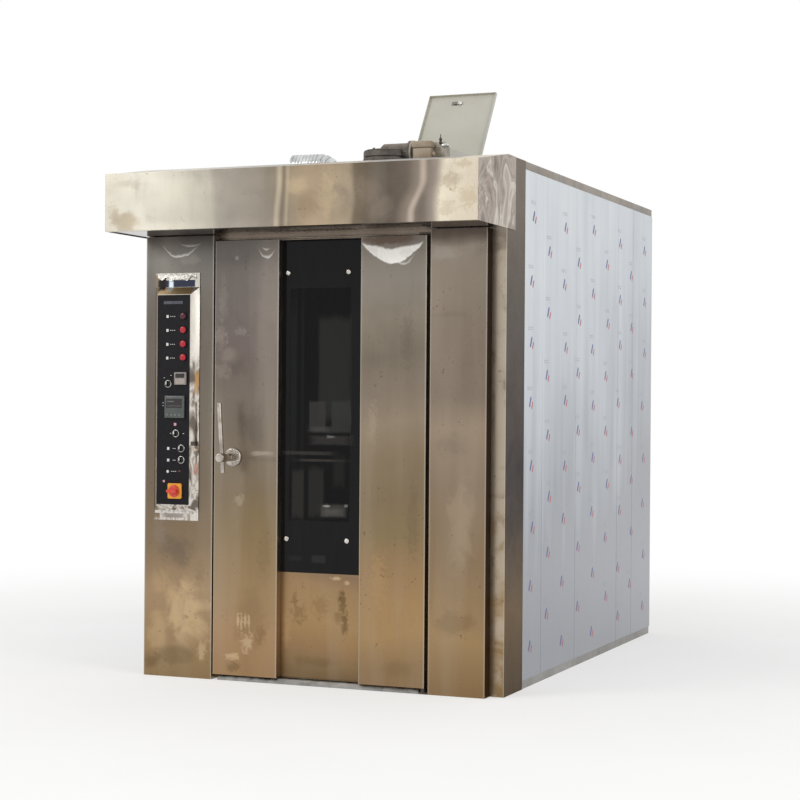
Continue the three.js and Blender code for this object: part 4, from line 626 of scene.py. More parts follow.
# Painted reflections in the dented ends.
side_painted_light(hood_steel, [(0.33, "#5f5548"), (0.42, "#93867a"), (0.50, "#a89c90"), (0.56, "#8b7e71"),
                        (0.63, "#c7bfb4"), (0.70, "#a3978a")], None, None, scale=5.5)


hood_foot, hood_brow, hood_half, hood_front = 1900.0, 2143.0, 833.3, -360
hood_gauge = 2.5


def hood_press(x, d, z):
    """Front swells in by 2 mm at most; the ends are dented up to 5 mm with sharp folds between dents."""
    v = np.clip((2 * z - hood_foot - hood_brow) / (hood_brow - hood_foot), -1, 1)
    window = 1 - v ** 8
    front = 2.0 * (0.5 + 0.5 * ripple(x, z, 330.0, 3)) * (1 - (x / 834.0) ** 8)
    room = np.clip((d + 356) / 40, 0, 1) * np.clip((-8 - d) / 40, 0, 1)
    end = 5.0 * np.clip(1 - 2.2 * np.abs(ripple(d, z, 150.0, 21)), 0, 1) * room
    return window * np.where(np.abs(x) > 832.0, end, np.where(d < -355, front, 0.0))


def hood_top(x, d):
    """Height of the canopy's upper edge: level at the lip, then sloping up to the portal."""
    return np.interp(d, [hood_front, -353, seam, 95], [2142.5, 2141.1, portal_top, portal_top])


hood_walls = bent_sheet([(-hood_half, 95), (-hood_half, hood_front), (hood_half, hood_front),
                         (hood_half, 95)], hood_foot, hood_top, hood_press, radius=5.0, step=13.0)
piece("canopy_walls", hood_walls, "cabinet", hood_steel, ["hood_shell"], hood_gauge,
      fold_edge)
cross, run = np.meshgrid(np.linspace(-831, 831, 80), np.linspace(-353, -0.4, 20))
fall = 2141.1 + (run + 353) / 352.7 * 58.8
sag = 3.0 * (0.5 + 0.5 * ripple(cross, run, 400.0, 5)) * (1 - (cross / 831) ** 6) * np.sin(
    math.pi * (run + 353) / 353)
piece("canopy_slope", open_sheet(cross, run, fall - sag), "cabinet", hood_steel,
      ["hood_shell"], hood_gauge)
cross, run = np.meshgrid(np.linspace(831, -831, 60), np.linspace(-358, -336, 3))
piece("canopy_flange", open_sheet(cross, run, np.full_like(run, hood_foot)), "cabinet",
      hood_steel, ["hood_shell"], hood_gauge)
lip_place = np.linspace(-832.6, 832.6, 90)[:, None]
angle = np.radians(np.arange(0, 360, 36))
lip = np.stack([lip_place + 0 * angle, -356.3 + 3.4 * np.cos(angle) + 0 * lip_place,
                2141.6 + 1.8 * np.sin(angle) + 0.25 * ripple(lip_place, 0 * lip_place, 140.0, 9)], -1)
# The rolled lip is painted far paler than the canopy: a painted highlight along the bead.
lip_steel = plain_finish("lip_steel_painted_highlight", "#e6dfd0", "#cbbfa9", 6.0, 0.30, 1.0)
piece("canopy_lip", skin(lip), "cabinet", lip_steel, ["hood_shell"])
# Painted reflection: the polished underside is tinted dark as if mirroring the dark space below.
underside_painted_reflection = plain_finish("polished_underside", "#615850", "#50483f", 2.2, 0.09, 1.0)
dress("hood_underside", underside_painted_reflection)


# ---------------------------------------------------------------- exhaust hose
# Spiral-corrugated aluminium foil hose, ribs 17 mm apart, rising through the deck and bent over to
# the left; thin foil takes bright, broken light and shows dents between the ribs.
def turned(profile, axis, centre, sides=48):
    """Rings of a turned body: a profile of (radius, place along the axis) swept round it. A radius of
    0.1 stands for the axis itself, so that the last face keeps its corners apart."""
    profile = np.asarray(profile, float)
    angle = 2 * math.pi * np.arange(sides) / sides
    u = profile[:, :1] * np.cos(angle)
    v = profile[:, :1] * np.sin(angle)
    w = np.broadcast_to(profile[:, 1:], u.shape)
    order = {"x": (w, u, v), "d": (u, w, v), "z": (u, v, w)}[axis]
    return np.stack(order, -1) + np.asarray(centre, float)


def lathe(profile, axis, centre, sides):
    """Turned body as points and faces, flat at both ends of its profile."""
    return skin(turned(profile, axis, centre, sides))


def hoop(profile, axis, centre, sides):
    """Turned ring: the profile is closed on itself instead of at its ends."""
    return skin(turned(np.concatenate([profile, profile[:1]]), axis, centre, sides), caps=False)


def tube(route, radius_at, sides=40):
    """Rings round a route in the (x, z) plane, each point as far from it as radius_at(run, angle) says."""
    route = np.asarray(route, float)
    run = np.concatenate([[0.0], np.cumsum(np.linalg.norm(np.diff(route, axis=0), axis=1))])
    ahead = np.gradient(route, run, axis=0)
    ahead /= np.linalg.norm(ahead, axis=1)[:, None]
    angle = 2 * math.pi * np.arange(sides) / sides
    radius = radius_at(run[:, None], angle[None, :])
    out = radius * np.cos(angle)
    normal = np.stack([ahead[:, 1], -ahead[:, 0]], -1)
    x = route[:, :1] + out * normal[:, :1]
    z = route[:, 1:] + out * normal[:, 1:]
    return np.stack([x, radius * np.sin(angle), z], -1)


foil = plain_finish("corrugated_foil", "#dfe1e1", "#b3b5b4", 22.0, 0.20, 1.0, 0.15)
turn_angle = np.linspace(0, math.pi / 2, 60)
route = np.concatenate([
    np.stack([np.full(90, -244.0), np.linspace(2082.6, 2214.0, 90)], -1),
    np.stack([-306 + 62 * np.cos(turn_angle), 2214.3 + 62 * np.sin(turn_angle)], -1),
    np.stack([np.linspace(-307.5, -435.8, 80), np.full(80, 2276.3)], -1)])


def inside_of_bend(angle):
    """1 on the side of the hose that the bend presses together, 0 on the other."""
    return np.clip(-np.cos(angle) * 2, 0, 1)


def ribbed(run, angle):
    """Radius of the hose: ribs along the run, pressed flat where the inside of the bend is squeezed."""
    bend = np.clip((run - 118) / 14, 0, 1) * np.clip((242 - run) / 14, 0, 1)
    squeezed = bend * inside_of_bend(angle)
    rib = np.abs(np.cos(math.pi * run / 17.0)) ** 0.7
    dent = 0.8 * (0.5 + 0.5 * ripple(run, 55 * np.abs(angle - math.pi), 90.0, 31))
    return 54.9 - 5.4 * (1 - rib) * (1 - 0.8 * squeezed) - dent - 1.5 * squeezed


def groove_shade_radius(run, angle):
    """Radius of the dark inner sheet, painted shade that shows between the ribs, closer in where the bend
    squeezes it.
    """
    return 51.3 - 2.0 * inside_of_bend(angle) + 0.0 * run


hose_place = [0.0, 650.0, 0.0]
hose = tube(route, ribbed)[:, ::-1] + hose_place
piece("corrugated_hose", skin(hose, caps=False), "cabinet", foil, ["exhaust_duct"], 1.0,
      sharp=70)
# A dark sheet inside the ribs stands for the shade in their grooves: painted shade.
valleys = tube(route, groove_shade_radius)[:, ::-1] + hose_place
piece("hose_valleys", skin(valleys, caps=False), "cabinet",
      plain_finish("shaded_foil", "#8d908f", "#5f6262", 22.0, 0.35, 1.0), thickness=0.5, sharp=70)


# ---------------------------------------------------------------- gear unit and motor
# Cast-iron worm unit stacked from flanged rings, its input housing lying across the top, with a finned motor
# and its terminal box. Old grey-brown paint, lighter on top from dust and painted top light, with the
# grooves painted dark as shade.
def cast_paint(name, pale, dark, dust_and_top_light, rough_at=0.55):
    """Sand-cast iron under one coat of paint: pits 3 mm wide, lighter on what faces up as dust together with
    painted top light, stained tone.
    """
    made, tree, place = new_material(name)
    blotch = noise(tree, place, 24.0, 5.0)
    colour = ramp(tree, blotch, [(0.35, dark), (0.62, pale)])
    facing_up = parts_of(tree, add_node(tree, "TexCoord").outputs["Normal"])["Z"]
    close_material(tree, {
        "Metallic": 0.2,
        "Base Color": overlay(tree, colour, dust_and_top_light, remap(tree, facing_up, (0.3, 1.0), (0.0, 0.5))),
        "Roughness": remap(tree, blotch, (0.0, 1.0), (rough_at - 0.1, rough_at + 0.2)),
        "Normal": bumps(tree, noise(tree, place, 260.0, 4.0), 0.35, 0.0012)})
    return made


def soft_box(x0, x1, d0, d1, z0, z1, radius=4.0, steps=3):
    """Box with every edge round: rounded rectangles stacked in z, drawn in near both ends."""
    angle = np.linspace(0, math.pi / 2, steps + 1)
    levels = np.concatenate([z0 + radius * (1 - np.sin(angle[::-1])), z1 - radius * (1 - np.sin(angle))])
    levels = np.sort(levels)
    draw = np.concatenate([radius * (1 - np.cos(angle[::-1])), radius * (1 - np.cos(angle))])
    rings = []
    for z, inset in zip(levels, draw):
        corners = [(x0 + inset, d0 + inset), (x1 - inset, d0 + inset), (x1 - inset, d1 - inset),
                   (x0 + inset, d1 - inset)]
        flat = eased(corners, radius, steps, closed=True)
        rings.append(np.column_stack([flat, np.full(len(flat), z)]))
    return skin(np.stack(rings))


def bolts(spots, axis, radius, low, high, sides=6):
    """Hexagon heads with a chamfered top, standing on an axis at each spot."""
    profile = [(radius, low), (radius, high - 0.25 * radius), (0.8 * radius, high), (0.05, high)]
    return gathered(*(lathe(profile, axis, spot, sides) for spot in spots))


iron_brown = cast_paint("painted_cast_iron", "#6b635b", "#443e39", "#a69a8a")
motor_paint = cast_paint("dusty_motor_paint", "#aba395", "#8a8172", "#cfc9bb", 0.45)
gear_axis, motor_axis = (18, 675, 0), (0, 675, 2318)
gear_foot, layer_height = 2205.4, 32.15
stack = [(0.1, gear_foot)]
for layer in range(4):
    foot, width = gear_foot + layer_height * layer, 113.0 - 2 * layer
    stack += [(width - 1.2, foot + 0.2), (width, foot + 1.6), (width, foot + 23.4),
              (width - 1.2, foot + 24.8), (width - 6.5, foot + 26.0), (width - 6.5, foot + 30.5)]
stack = [point for point in stack if point[1] < 2331.0] + [(104.0, 2331.2), (96.0, 2334.0), (26.0, 2334.0)]
angle = np.radians(np.arange(0, 360, 45) + 22.5)
motor_depth, motor_height = motor_axis[1:]
top_bolts = bolts([(18 + 84 * math.cos(a), motor_depth + 84 * math.sin(a), 0) for a in angle], "z", 6.5,
                  2333.0, 2340.5)
input_case = eased([(0.1, -9.8), (31, -9.8), (47.5, 8), (47.5, 131), (57.5, 131), (57.5, 144.8),
                    (0.1, 144.8)], 4)
housing = gathered(lathe(stack, "z", gear_axis, 96), top_bolts, lathe(input_case, "x", motor_axis, 64),
                   bolts([(0, motor_depth + 50 * math.cos(a), motor_height + 50 * math.sin(a))
                          for a in angle[::2] - 0.39], "x", 5.0, 124.0, 132.0))
piece("gear_housing", housing, "cabinet", iron_brown, ["gear_unit"], sharp=30)
# Dark rings set in the grooves between the flanges: painted shade.
groove_shade_paint = cast_paint("groove_painted_shade", "#2b2622", "#1b1816", "#332d28", 0.35)
grooves = []
for layer in range(3):
    foot, width = gear_foot + layer_height * layer + 24.9, 111.0 - 2 * layer
    grooves.append(lathe([(100, foot), (width, foot), (width, foot + 5.4), (100, foot + 5.4)], "z",
                         gear_axis, 96))
piece("gear_grooves", gathered(*grooves), "cabinet", groove_shade_paint, sharp=30)
fins = np.radians(np.arange(0, 360, 360 / 144))
fin_reach = np.where(np.arange(144) % 6 < 3, 45.8, 41.2)
fin_ring = np.stack([fin_reach * np.cos(fins), fin_reach * np.sin(fins)], -1)
fin_rings = np.stack([np.column_stack([np.full(144, x), fin_ring + motor_axis[1:]])
                      for x in (153.0, 277.0)])
cowl = eased([(0.1, 272.0), (46.8, 272.0), (46.8, 301.0), (38.5, 310.1), (0.1, 310.1)], 3)
flange = eased([(0.1, 145.5), (57.5, 145.5), (57.5, 155.3), (0.1, 155.3)], 2)
motor = gathered(skin(fin_rings), lathe(cowl, "x", motor_axis, 64), lathe(flange, "x", motor_axis, 64))
piece("motor_body", motor, "cabinet", motor_paint, ["drive_motor"], sharp=30)
box_paint = cast_paint("terminal_box_paint", "#a3937d", "#8b7c68", "#cbc6bb", 0.5)
terminal = gathered(soft_box(180, 264, 586, 640, 2271.2, 2330, 5),
                    soft_box(175.1, 268.9, 581.1, 629, 2329, 2359.9, 6),
                    lathe(eased([(0.1, 263.0), (9, 263.0), (9, 279.3), (0.1, 279.3)], 1.5), "x",
                                (0, 605, 2300.7), 24))
piece("terminal_box", terminal, "cabinet", box_paint, ["motor_terminal_box"], sharp=30)
dress("rotor_bearing", iron_brown)
dress("fan_motor", cast_paint("fan_motor_paint", "#4d5054", "#3c3f43", "#77746f", 0.42))


# ---------------------------------------------------------------- electrical enclosure
# Sheet-steel switch box in warm light grey powder coat, its lid folded from one sheet and laid back
# on its hinge, with a chromed quarter-turn lock and a small bare plate beside it.
powder_grey = plain_finish("grey_powder_coat", "#c2bfb3", "#b5b2a5", 3.0, 0.38, 0.0, 0.25)
dress("enclosure_box", powder_grey)
dress("enclosure_lid", powder_grey)
chrome = plain_finish("chrome_plate", "#d9d7d2", "#a9a6a0", 14.0, 0.12, 1.0)
swing = math.radians(123.0)
hinge_line = [0.0, 1200.0, 2351.0]
lock_axis = (102, 837, 0)


def on_lid(points):
    """Carries points given with the lid shut to where it lies open, turned back about its hinge."""
    points = np.asarray(points, float) - hinge_line
    d = points[..., 1] * math.cos(swing) + points[..., 2] * math.sin(swing)
    z = points[..., 2] * math.cos(swing) - points[..., 1] * math.sin(swing)
    return np.stack([points[..., 0], d, z], -1) + hinge_line


barrel = lathe([(0.1, 2342.5), (7, 2342.5), (9, 2344.5), (9, 2353.5), (13, 2353.5), (12.4, 2356.6),
                (0.1, 2357.2)], "z", lock_axis, 40)
nut = lathe([(11.5, 2343.6), (12.5, 2344.4), (12.5, 2345.6), (9, 2345.6)], "z", lock_axis, 6)
cam = soft_box(64, 111, 830, 844, 2345.6, 2348.6, 1.0)
washer = lathe([(0.1, 2352.4), (17.5, 2352.4), (17.5, 2353.4), (0.1, 2353.4)], "z", lock_axis, 40)
plate = soft_box(58, 88, 824, 850, 2350.6, 2351.2, 0.2, 1)
dull_zinc = plain_finish("dull_zinc_cam", "#8f8d86", "#6f6d67", 40.0, 0.45, 0.8)
black_rubber = plain_finish("black_rubber_washer", "#2b2a28", "#1e1d1c", 40.0, 0.6)
bare_plate = plain_finish("bare_lock_plate", "#8e8c84", "#77756e", 40.0, 0.4, 0.5)
for name, (points, faces), body, slot, finish, stands_for in [
        ("cam_lock", gathered(barrel, nut), "lock", "polished_fittings", chrome, ["lid_lock"]),
        ("lock_cam", cam, "lock", "polished_fittings", dull_zinc, ()),
        ("lock_washer", washer, "lock", "polished_fittings", black_rubber, ()),
        ("lock_plate", plate, "lid", "enclosure_paint", bare_plate, ())]:
    piece(name, (on_lid(points), faces), body, finish, stands_for)
stem = eased([(0.1, 2330), (3, 2330), (3, 2350), (7.5, 2352), (7.5, 2359), (4, 2362), (7.0, 2366),
              (7.0, 2374), (2.6, 2377), (2.2, 2392), (0.1, 2393)], 1.0, 3)
piece("motor_breather", lathe(stem, "z", (292, 640, 0), 20), "cabinet",
      plain_finish("dark_breather", "#4b4844", "#2d2b28", 60.0, 0.4, 0.4))
plug = eased([(0.1, 300), (9, 300), (9, 328), (5, 332), (0.1, 332)], 1.5, 3)
piece("motor_plug", lathe(plug, "x", (0, 640, 2342), 24), "cabinet", chrome)

# ---------------------------------------------------------------- rear screws
# Pan-head screws every 260 mm hold the rear sheet to the frame and the service cover to the sheet,
# driven through dimples so that no head stands higher than the cover's own sheet.
edge_height = np.linspace(90, 2120, 9)
spots = [(x, z) for x in (-805, 805) for z in edge_height]
spots += [(x, z) for z in (2120, 90) for x in np.linspace(-540, 540, 5)]
spots += [(x, z) for x in (-392, 392) for z in (440, 733, 1007, 1300)]
head = [(0.1, 2317.4), (6.5, 2317.4), (6.5, 2318.6), (4.5, 2319.7), (1.4, 2320.1), (1.4, 2319.4),
        (0.1, 2319.4)]
piece("rear_screws", gathered(*(lathe(head, "d", (x, 0, z), 18) for x, z in spots)), "cabinet",
      plain_finish("zinc_screw", "#c3c5c6", "#93969a", 90.0, 0.3, 1.0))


# ---------------------------------------------------------------- door leaf
# Two box stiles folded from brushed stainless stand proud of an insulated core; between them sit the lower
# sheet and the glass. The stiles show soft dents and handling scuffs, with painted reflections in their
# colour and painted highlights on their bent heads.
# Painted reflection down the left stile, tan toward the foot and grey higher up; glints are painted
# highlights on the bent head, and the clouds are handling scuffs mixed with painted reflections and
# highlights.
left_stile_tones = [(0.0, "#a1825f"), (0.10, "#a68663"), (0.18, "#9d8361"), (0.26, "#937b5b"),
                    (0.34, "#877456"), (0.42, "#7e6e58"), (0.50, "#7b7060"), (0.65, "#756b61"),
                    (0.74, "#6d625d"), (1.0, "#6c6763")]
left_stile_steel = brushed_stainless(
    "brushed_stainless_left_stile", left_stile_tones, 0.0, 1.88, folds=(-0.467, -0.1665),
    glints=[(-0.222, 1.862, 0.052, 0.068, 0.018, 0.6), (-0.226, 1.850, 0.024, 0.022, 0.016, 0.6)],
    stains_and_painted_light=[(-0.36, 1.33, 0.07, 0.06, "#5f5651", 0.45), (-0.265, 1.07, 0.065, 0.13, "#625851", 0.5),
            (-0.25, 0.972, 0.075, 0.014, "#aba093", 0.6), (-0.21, 0.945, 0.06, 0.012, "#6b6055", 0.5),
            (-0.341, 0.771, 0.04, 0.03, "#a59782", 0.5), (-0.43, 1.62, 0.03, 0.12, "#868079", 0.4),
            (-0.364, 1.801, 0.014, 0.012, "#aaa39b", 0.5), (-0.44, 1.46, 0.05, 0.06, "#8b8279", 0.5),
            (-0.40, 1.39, 0.06, 0.05, "#8d847b", 0.5), (-0.43, 1.32, 0.05, 0.05, "#867d74", 0.5),
            (-0.34, 1.49, 0.05, 0.03, "#8d8680", 0.4),
            (-0.22, 0.55, 0.05, 0.16, "#7d6a50", 0.35), (-0.29, 0.27, 0.10, 0.14, "#8d7453", 0.5),
            (-0.306, 0.165, 0.038, 0.060, "#c9ae8b", 0.8), (-0.372, 0.105, 0.045, 0.022, "#cbb08b", 0.7),
            (-0.37, 0.06, 0.05, 0.03, "#6f5a3e", 0.5), (-0.24, 0.20, 0.03, 0.08, "#7d6547", 0.5),
            *((x, 0.255, 0.009, 0.045, "#c6ab88", 0.8) for x in (-0.347, -0.330, -0.313, -0.296))])
door_foot, door_head = 24.0, 1875.0
left_stile = bent_sheet(
    [(-468, -16), (-468, proud_face), (-165, proud_face), (-165, -16)], door_foot, door_head,
    wave=hollowed(-468, -165, door_foot, door_head, 2.6, 14),
    holes=[(-390, -364, -65, -55, 940, 966), (-472, -464, -54.5, -43.5, 876, 968)], ends=(1,))
piece("stile_left", left_stile, "door", left_stile_steel, ["door_stile_left"],
      gauge, fold_edge)
# Painted reflection down the right stile, tan toward the foot and grey higher up; the big glint is a painted
# highlight in the dent at its head with a dark painted reflection above it, and the other clouds are scuffs
# mixed with painted reflections.
right_stile_tones = [(0.0, "#8f7556"), (0.05, "#927757"), (0.13, "#a5875f"), (0.20, "#a3855f"),
                     (0.28, "#977c5b"), (0.36, "#877557"), (0.43, "#817058"), (0.51, "#85755e"),
                     (0.585, "#8f806d"), (0.66, "#827668"), (0.74, "#766d60"), (0.81, "#81786b"),
                     (0.90, "#867f76"), (1.0, "#857e75")]
right_stile_steel = brushed_stainless(
    "brushed_stainless_right_stile", right_stile_tones, 0.0, 1.88, folds=(0.2125, 0.5035),
    glints=[(0.352, 1.860, 0.146, 0.098, 0.072, 0.9), (0.40, 1.842, 0.075, 0.085, 0.016, 0.5)],
    stains_and_painted_light=[(0.345, 1.862, 0.19, 0.040, "#65554b", 0.9), (0.42, 1.45, 0.04, 0.16, "#675f55", 0.40),
            (0.27, 1.10, 0.03, 0.12, "#a3927c", 0.40), (0.45, 0.72, 0.04, 0.20, "#74634d", 0.40),
            (0.30, 0.46, 0.05, 0.15, "#b0926b", 0.35), (0.40, 0.10, 0.10, 0.05, "#7b6547", 0.40)])
right_stile = bent_sheet(
    [(211, -16), (211, proud_face), (505, proud_face), (505, -16)], door_foot, door_head,
    wave=hollowed(211, 505, door_foot, door_head, 2.8, 17), ends=(0, 1))
piece("stile_right", right_stile, "door", right_stile_steel, ["door_stile_right"],
      gauge, fold_edge)
# Painted reflection on the lower sheet, warm tan; its clouds are chips and scuffs mixed with painted
# reflections.
lower_steel = brushed_stainless(
    "brushed_stainless_lower_panel",
    [(0.0, "#7d674b"), (0.15, "#8b7353"), (0.28, "#977958"), (0.42, "#9e805a"), (0.58, "#a48660"),
     (0.72, "#a0845e"), (0.88, "#9b7f5e"), (1.0, "#8b725a")], 0.02, 0.47,
    stains_and_painted_light=[(-0.10, 0.36, 0.02, 0.05, "#7b6244", 0.6), (0.09, 0.452, 0.030, 0.010, "#cbb591", 0.6),
            (0.14, 0.437, 0.018, 0.014, "#cbb48d", 0.6), (0.0, 0.10, 0.14, 0.03, "#6a563c", 0.35),
            (-0.14, 0.22, 0.03, 0.10, "#b79870", 0.40), (0.119, 0.36, 0.024, 0.075, "#604a2f", 0.7),
            (0.133, 0.27, 0.020, 0.080, "#664f33", 0.7), (0.105, 0.29, 0.035, 0.040, "#7d6442", 0.6),
            (-0.08, 0.30, 0.050, 0.060, "#806744", 0.6), (0.02, 0.33, 0.055, 0.07, "#8a6d49", 0.5)])
cross, up = np.meshgrid(np.linspace(-164.5, 210.5, 40), np.linspace(24.0, 470.0, 48))
fade = 16 * (cross + 164.5) * (210.5 - cross) / 375 ** 2 * (up - 24) * (470 - up) / 446 ** 2
dents = -19.0 + 1.5 * np.clip(fade * 2.0, 0, 1) * (0.5 + 0.5 * ripple(cross, up, 110.0, 23))
piece("lower_sheet", open_sheet(cross, dents, up), "door", lower_steel,
      ["door_lower_panel"], 1.5)


# ---------------------------------------------------------------- window
# Tempered glass printed black on the inside, left clear but smoked over the window, with a clear inner pane
# behind; held by four polished domed studs. Soft pale patches on the smoked glass are painted reflections.
def soft_patch(tree, place, wobble, x, z, width, height, soft, amount):
    """Cover of a soft-edged rectangle on the (x, z) plane: 1 inside, fading over a share of its size."""
    reach = add_node(tree, "VectorMath", {
        "operation": "ABSOLUTE", 0: centred(tree, place, x, z, width / 2, height / 2)})
    parts = parts_of(tree, reach.outputs[0])
    ragged = calc(tree, "MULTIPLY_ADD", wobble, soft, calc(tree, "MAXIMUM", parts["X"], parts["Z"]))
    return remap(tree, ragged, (1 + soft, 1.0), (0.0, amount), smooth=True)


def smoked_glass(name, patches, clear):
    """Near-black glass: soft pale patches, painted reflections, lie on it, and the clear zone lets a little
    light through.
    """
    made, tree, place = new_material(name)
    wobble = noise(tree, scaled(tree, place, 30.0, 30.0, 5.0), 1.0, 3.0)
    colour = ramp(tree, wobble, [(0.3, "#0b0b0c"), (0.7, "#111112")])
    for *spot, reflection_tone in patches:
        colour = overlay(tree, colour, reflection_tone, soft_patch(tree, place, wobble, *spot))
    body = add_node(tree, "BsdfPrincipled", {"Specular IOR Level": 0.16, "Roughness": 0.05,
                                             "Base Color": colour})
    through = add_node(tree, "BsdfTransparent", {"Color": "#8c9290"})
    close_mixed(tree, soft_patch(tree, place, wobble, *clear), body, through)
    return made


# Painted reflections on the smoked glass: (x, z, width, height, softness, amount, colour).
painted_glass_reflections = [
    (0.078, 1.33, 0.145, 0.42, 0.25, 0.85, "#2f302c"), (-0.112, 1.28, 0.030, 0.66, 0.6, 0.6, "#232425"),
    (-0.070, 1.28, 0.012, 0.72, 0.8, 0.5, "#212223"), (0.0, 1.13, 0.075, 0.125, 0.2, 0.8, "#3f3d3b"),
    (0.108, 1.13, 0.085, 0.13, 0.25, 0.8, "#3c3d39"), (0.06, 1.03, 0.17, 0.035, 0.8, 0.7, "#403d3a"),
    (-0.04, 0.975, 0.22, 0.014, 1.0, 0.7, "#45423f"), (0.02, 0.945, 0.20, 0.010, 1.0, 0.7, "#4a4642"),
    (-0.088, 0.80, 0.055, 0.20, 0.35, 0.8, "#34332f"), (-0.004, 0.81, 0.07, 0.20, 0.4, 0.7, "#33322f"),
    (0.10, 0.90, 0.05, 0.12, 0.8, 0.5, "#2f2f2c"), (0.075, 0.735, 0.11, 0.05, 0.6, 0.8, "#4b4844"),
    (0.075, 0.730, 0.075, 0.022, 2.0, 0.5, "#6b6864"), (0.045, 0.754, 0.026, 0.006, 1.6, 0.8, "#b5b3af"),
    (0.135, 0.757, 0.012, 0.009, 1.6, 0.7, "#a3a19d"), (0.065, 1.045, 0.028, 0.008, 1.8, 0.7, "#8a8884"),
    (0.02, 1.075, 0.090, 0.020, 1.8, 0.6, "#55534f"), (0.01, 0.53, 0.06, 0.03, 0.5, 0.6, "#2d2d2c"),
    (-0.10, 0.53, 0.06, 0.02, 0.8, 0.4, "#262626")]
window = (0.01, 1.18, 0.28, 0.98, 0.01, 0.30)
dress("door_outer_glass", smoked_glass("smoked_printed_glass", painted_glass_reflections, window))
clear_pane, tree, place = new_material("clear_inner_pane")
wipe = noise(tree, place, 9.0, 5.0, distortion=1.0)
pane = add_node(tree, "BsdfPrincipled", {
    "Specular IOR Level": 0.4, "Roughness": 0.04,
    "Base Color": ramp(tree, wipe, [(0.35, "#1b1d1c"), (0.75, "#34352f")])})
through = add_node(tree, "BsdfTransparent", {"Color": "#c9cfcb"})
close_mixed(tree, remap(tree, wipe, (0.0, 1.0), (0.55, 0.90)), pane, through)
dress("door_inner_glass", clear_pane)
stud_steel = plain_finish("polished_stud_steel", "#dedad4", "#b3aea6", 60.0, 0.22, 1.0, 0.3)
stud = eased([(0.1, -3.7), (4, -3.7), (4, -21.6), (11, -21.6), (11, -25.0), (8, -27.3), (0.1, -27.6)],
             1.2, 3)
for number, (x, z) in enumerate([(-139, 611), (-139, 1736), (140, 611), (140, 1736)], 1):
    piece(f"glass_stud_{number}", lathe(stud, "d", (x, 0, z), 32), "door",
          stud_steel, [f"glass_standoff_{number}"])
for node in ("door_pivot_top", "door_pivot_bottom"):
    dress(node, plain_finish(node + "_steel", "#5f5750", "#453f39", 30.0, 0.4, 0.9))
dress("door_gasket", plain_finish("grey_silicone", "#4b4744", "#34312f", 40.0, 0.7, 0.0, 0.4))
head_trim = soft_box(-468, 515, -14, -0.3, 1882.5, 1887.5, 1.5)
piece("door_head_trim", head_trim, "cabinet",
      plain_finish("trim_edge_steel", "#b5aa9d", "#8f8478", 8.0, 0.28, 1.0))


# ---------------------------------------------------------------- handle
# Turned and polished stainless: a rosette with six dome nuts, a hub and collar on the spindle, a
# round bar through the collar leaning toward the column, and the latch tongue behind the stile.
handle_steel = plain_finish("polished_handle_steel", "#cbc3ba", "#9b9187", 22.0, 0.30, 1.0, 0.1)
handle_x, handle_z = -377, 953
place_of_handle = (handle_x, 0, handle_z)
rosette = eased([(12, -69.3), (34, -69.3), (40, -65.5), (40, -60.3), (12, -60.3), (12, -69.3)], 2.0, 3)
angle = math.pi / 3 * (np.arange(6) + 0.5)
dome = eased([(0.1, -75.2), (3.4, -74.6), (5.4, -71.5), (6.0, -68.8), (6.0, -66.0), (0.1, -66.0)], 1.5, 3)
nuts = [lathe(dome, "d", (handle_x + 30 * math.cos(a), 0, handle_z + 30 * math.sin(a)), 20) for a in angle]
piece("rosette", hoop(rosette[:-1], "d", place_of_handle, 64), "door", handle_steel,
      ["handle_rosette"])
piece("rosette_nuts", gathered(*nuts), "door", chrome, ["handle_rosette"])
shaft = eased([(0.1, -185), (17, -185), (20, -182), (20, -133), (13, -129), (13, -103.3), (17, -97.3),
               (17, -69.6), (11, -69.6), (11, -45), (0.1, -45)], 2.0, 3)
tongue = soft_box(-387, -367, -53, -45, 844, 953, 2.5)
piece("spindle", gathered(lathe(shaft, "d", place_of_handle, 56), tongue), "handle",
      handle_steel, ["handle_spindle"])
rod = eased([(0.1, -65), (9.8, -65), (9.8, 232), (0.1, 232)], 2.0, 4)
lean = math.radians(-3.8)
bar = turned(rod, "z", (0, 0, 0), 40)
bar = np.stack([bar[..., 0] * math.cos(lean) + bar[..., 2] * math.sin(lean) + handle_x, bar[..., 1] - 159,
                bar[..., 2] * math.cos(lean) - bar[..., 0] * math.sin(lean) + handle_z], -1)
piece("handle_rod", skin(bar), "handle", handle_steel, ["handle_bar"])


# ---------------------------------------------------------------- control panel frame
# Mirror-polished bevelled frame pressed from stainless on a flat plate; its protective film is
# half torn off, so the right bevel runs from milky white to jagged bright and dark reflections.
film_steel, tree, place = new_material("half_peeled_mirror_steel")
shards = noise(tree, scaled(tree, place, 17.0, 17.0, 6.5), 1.0, 3.0, distortion=1.3)
jagged = ramp(tree, shards, [(0.34, "#6f665d"), (0.42, "#b1a79b"), (0.50, "#dcd7cf"), (0.56, "#a3998e"),
                             (0.64, "#d2cbc1")])
milky = ramp(tree, shards, [(0.3, "#b9b4aa"), (0.7, "#cfcac1")])
peeled = remap(tree, parts_of(tree, place)["Z"], (1.40, 1.30))
colour = overlay(tree, milky, jagged, peeled)
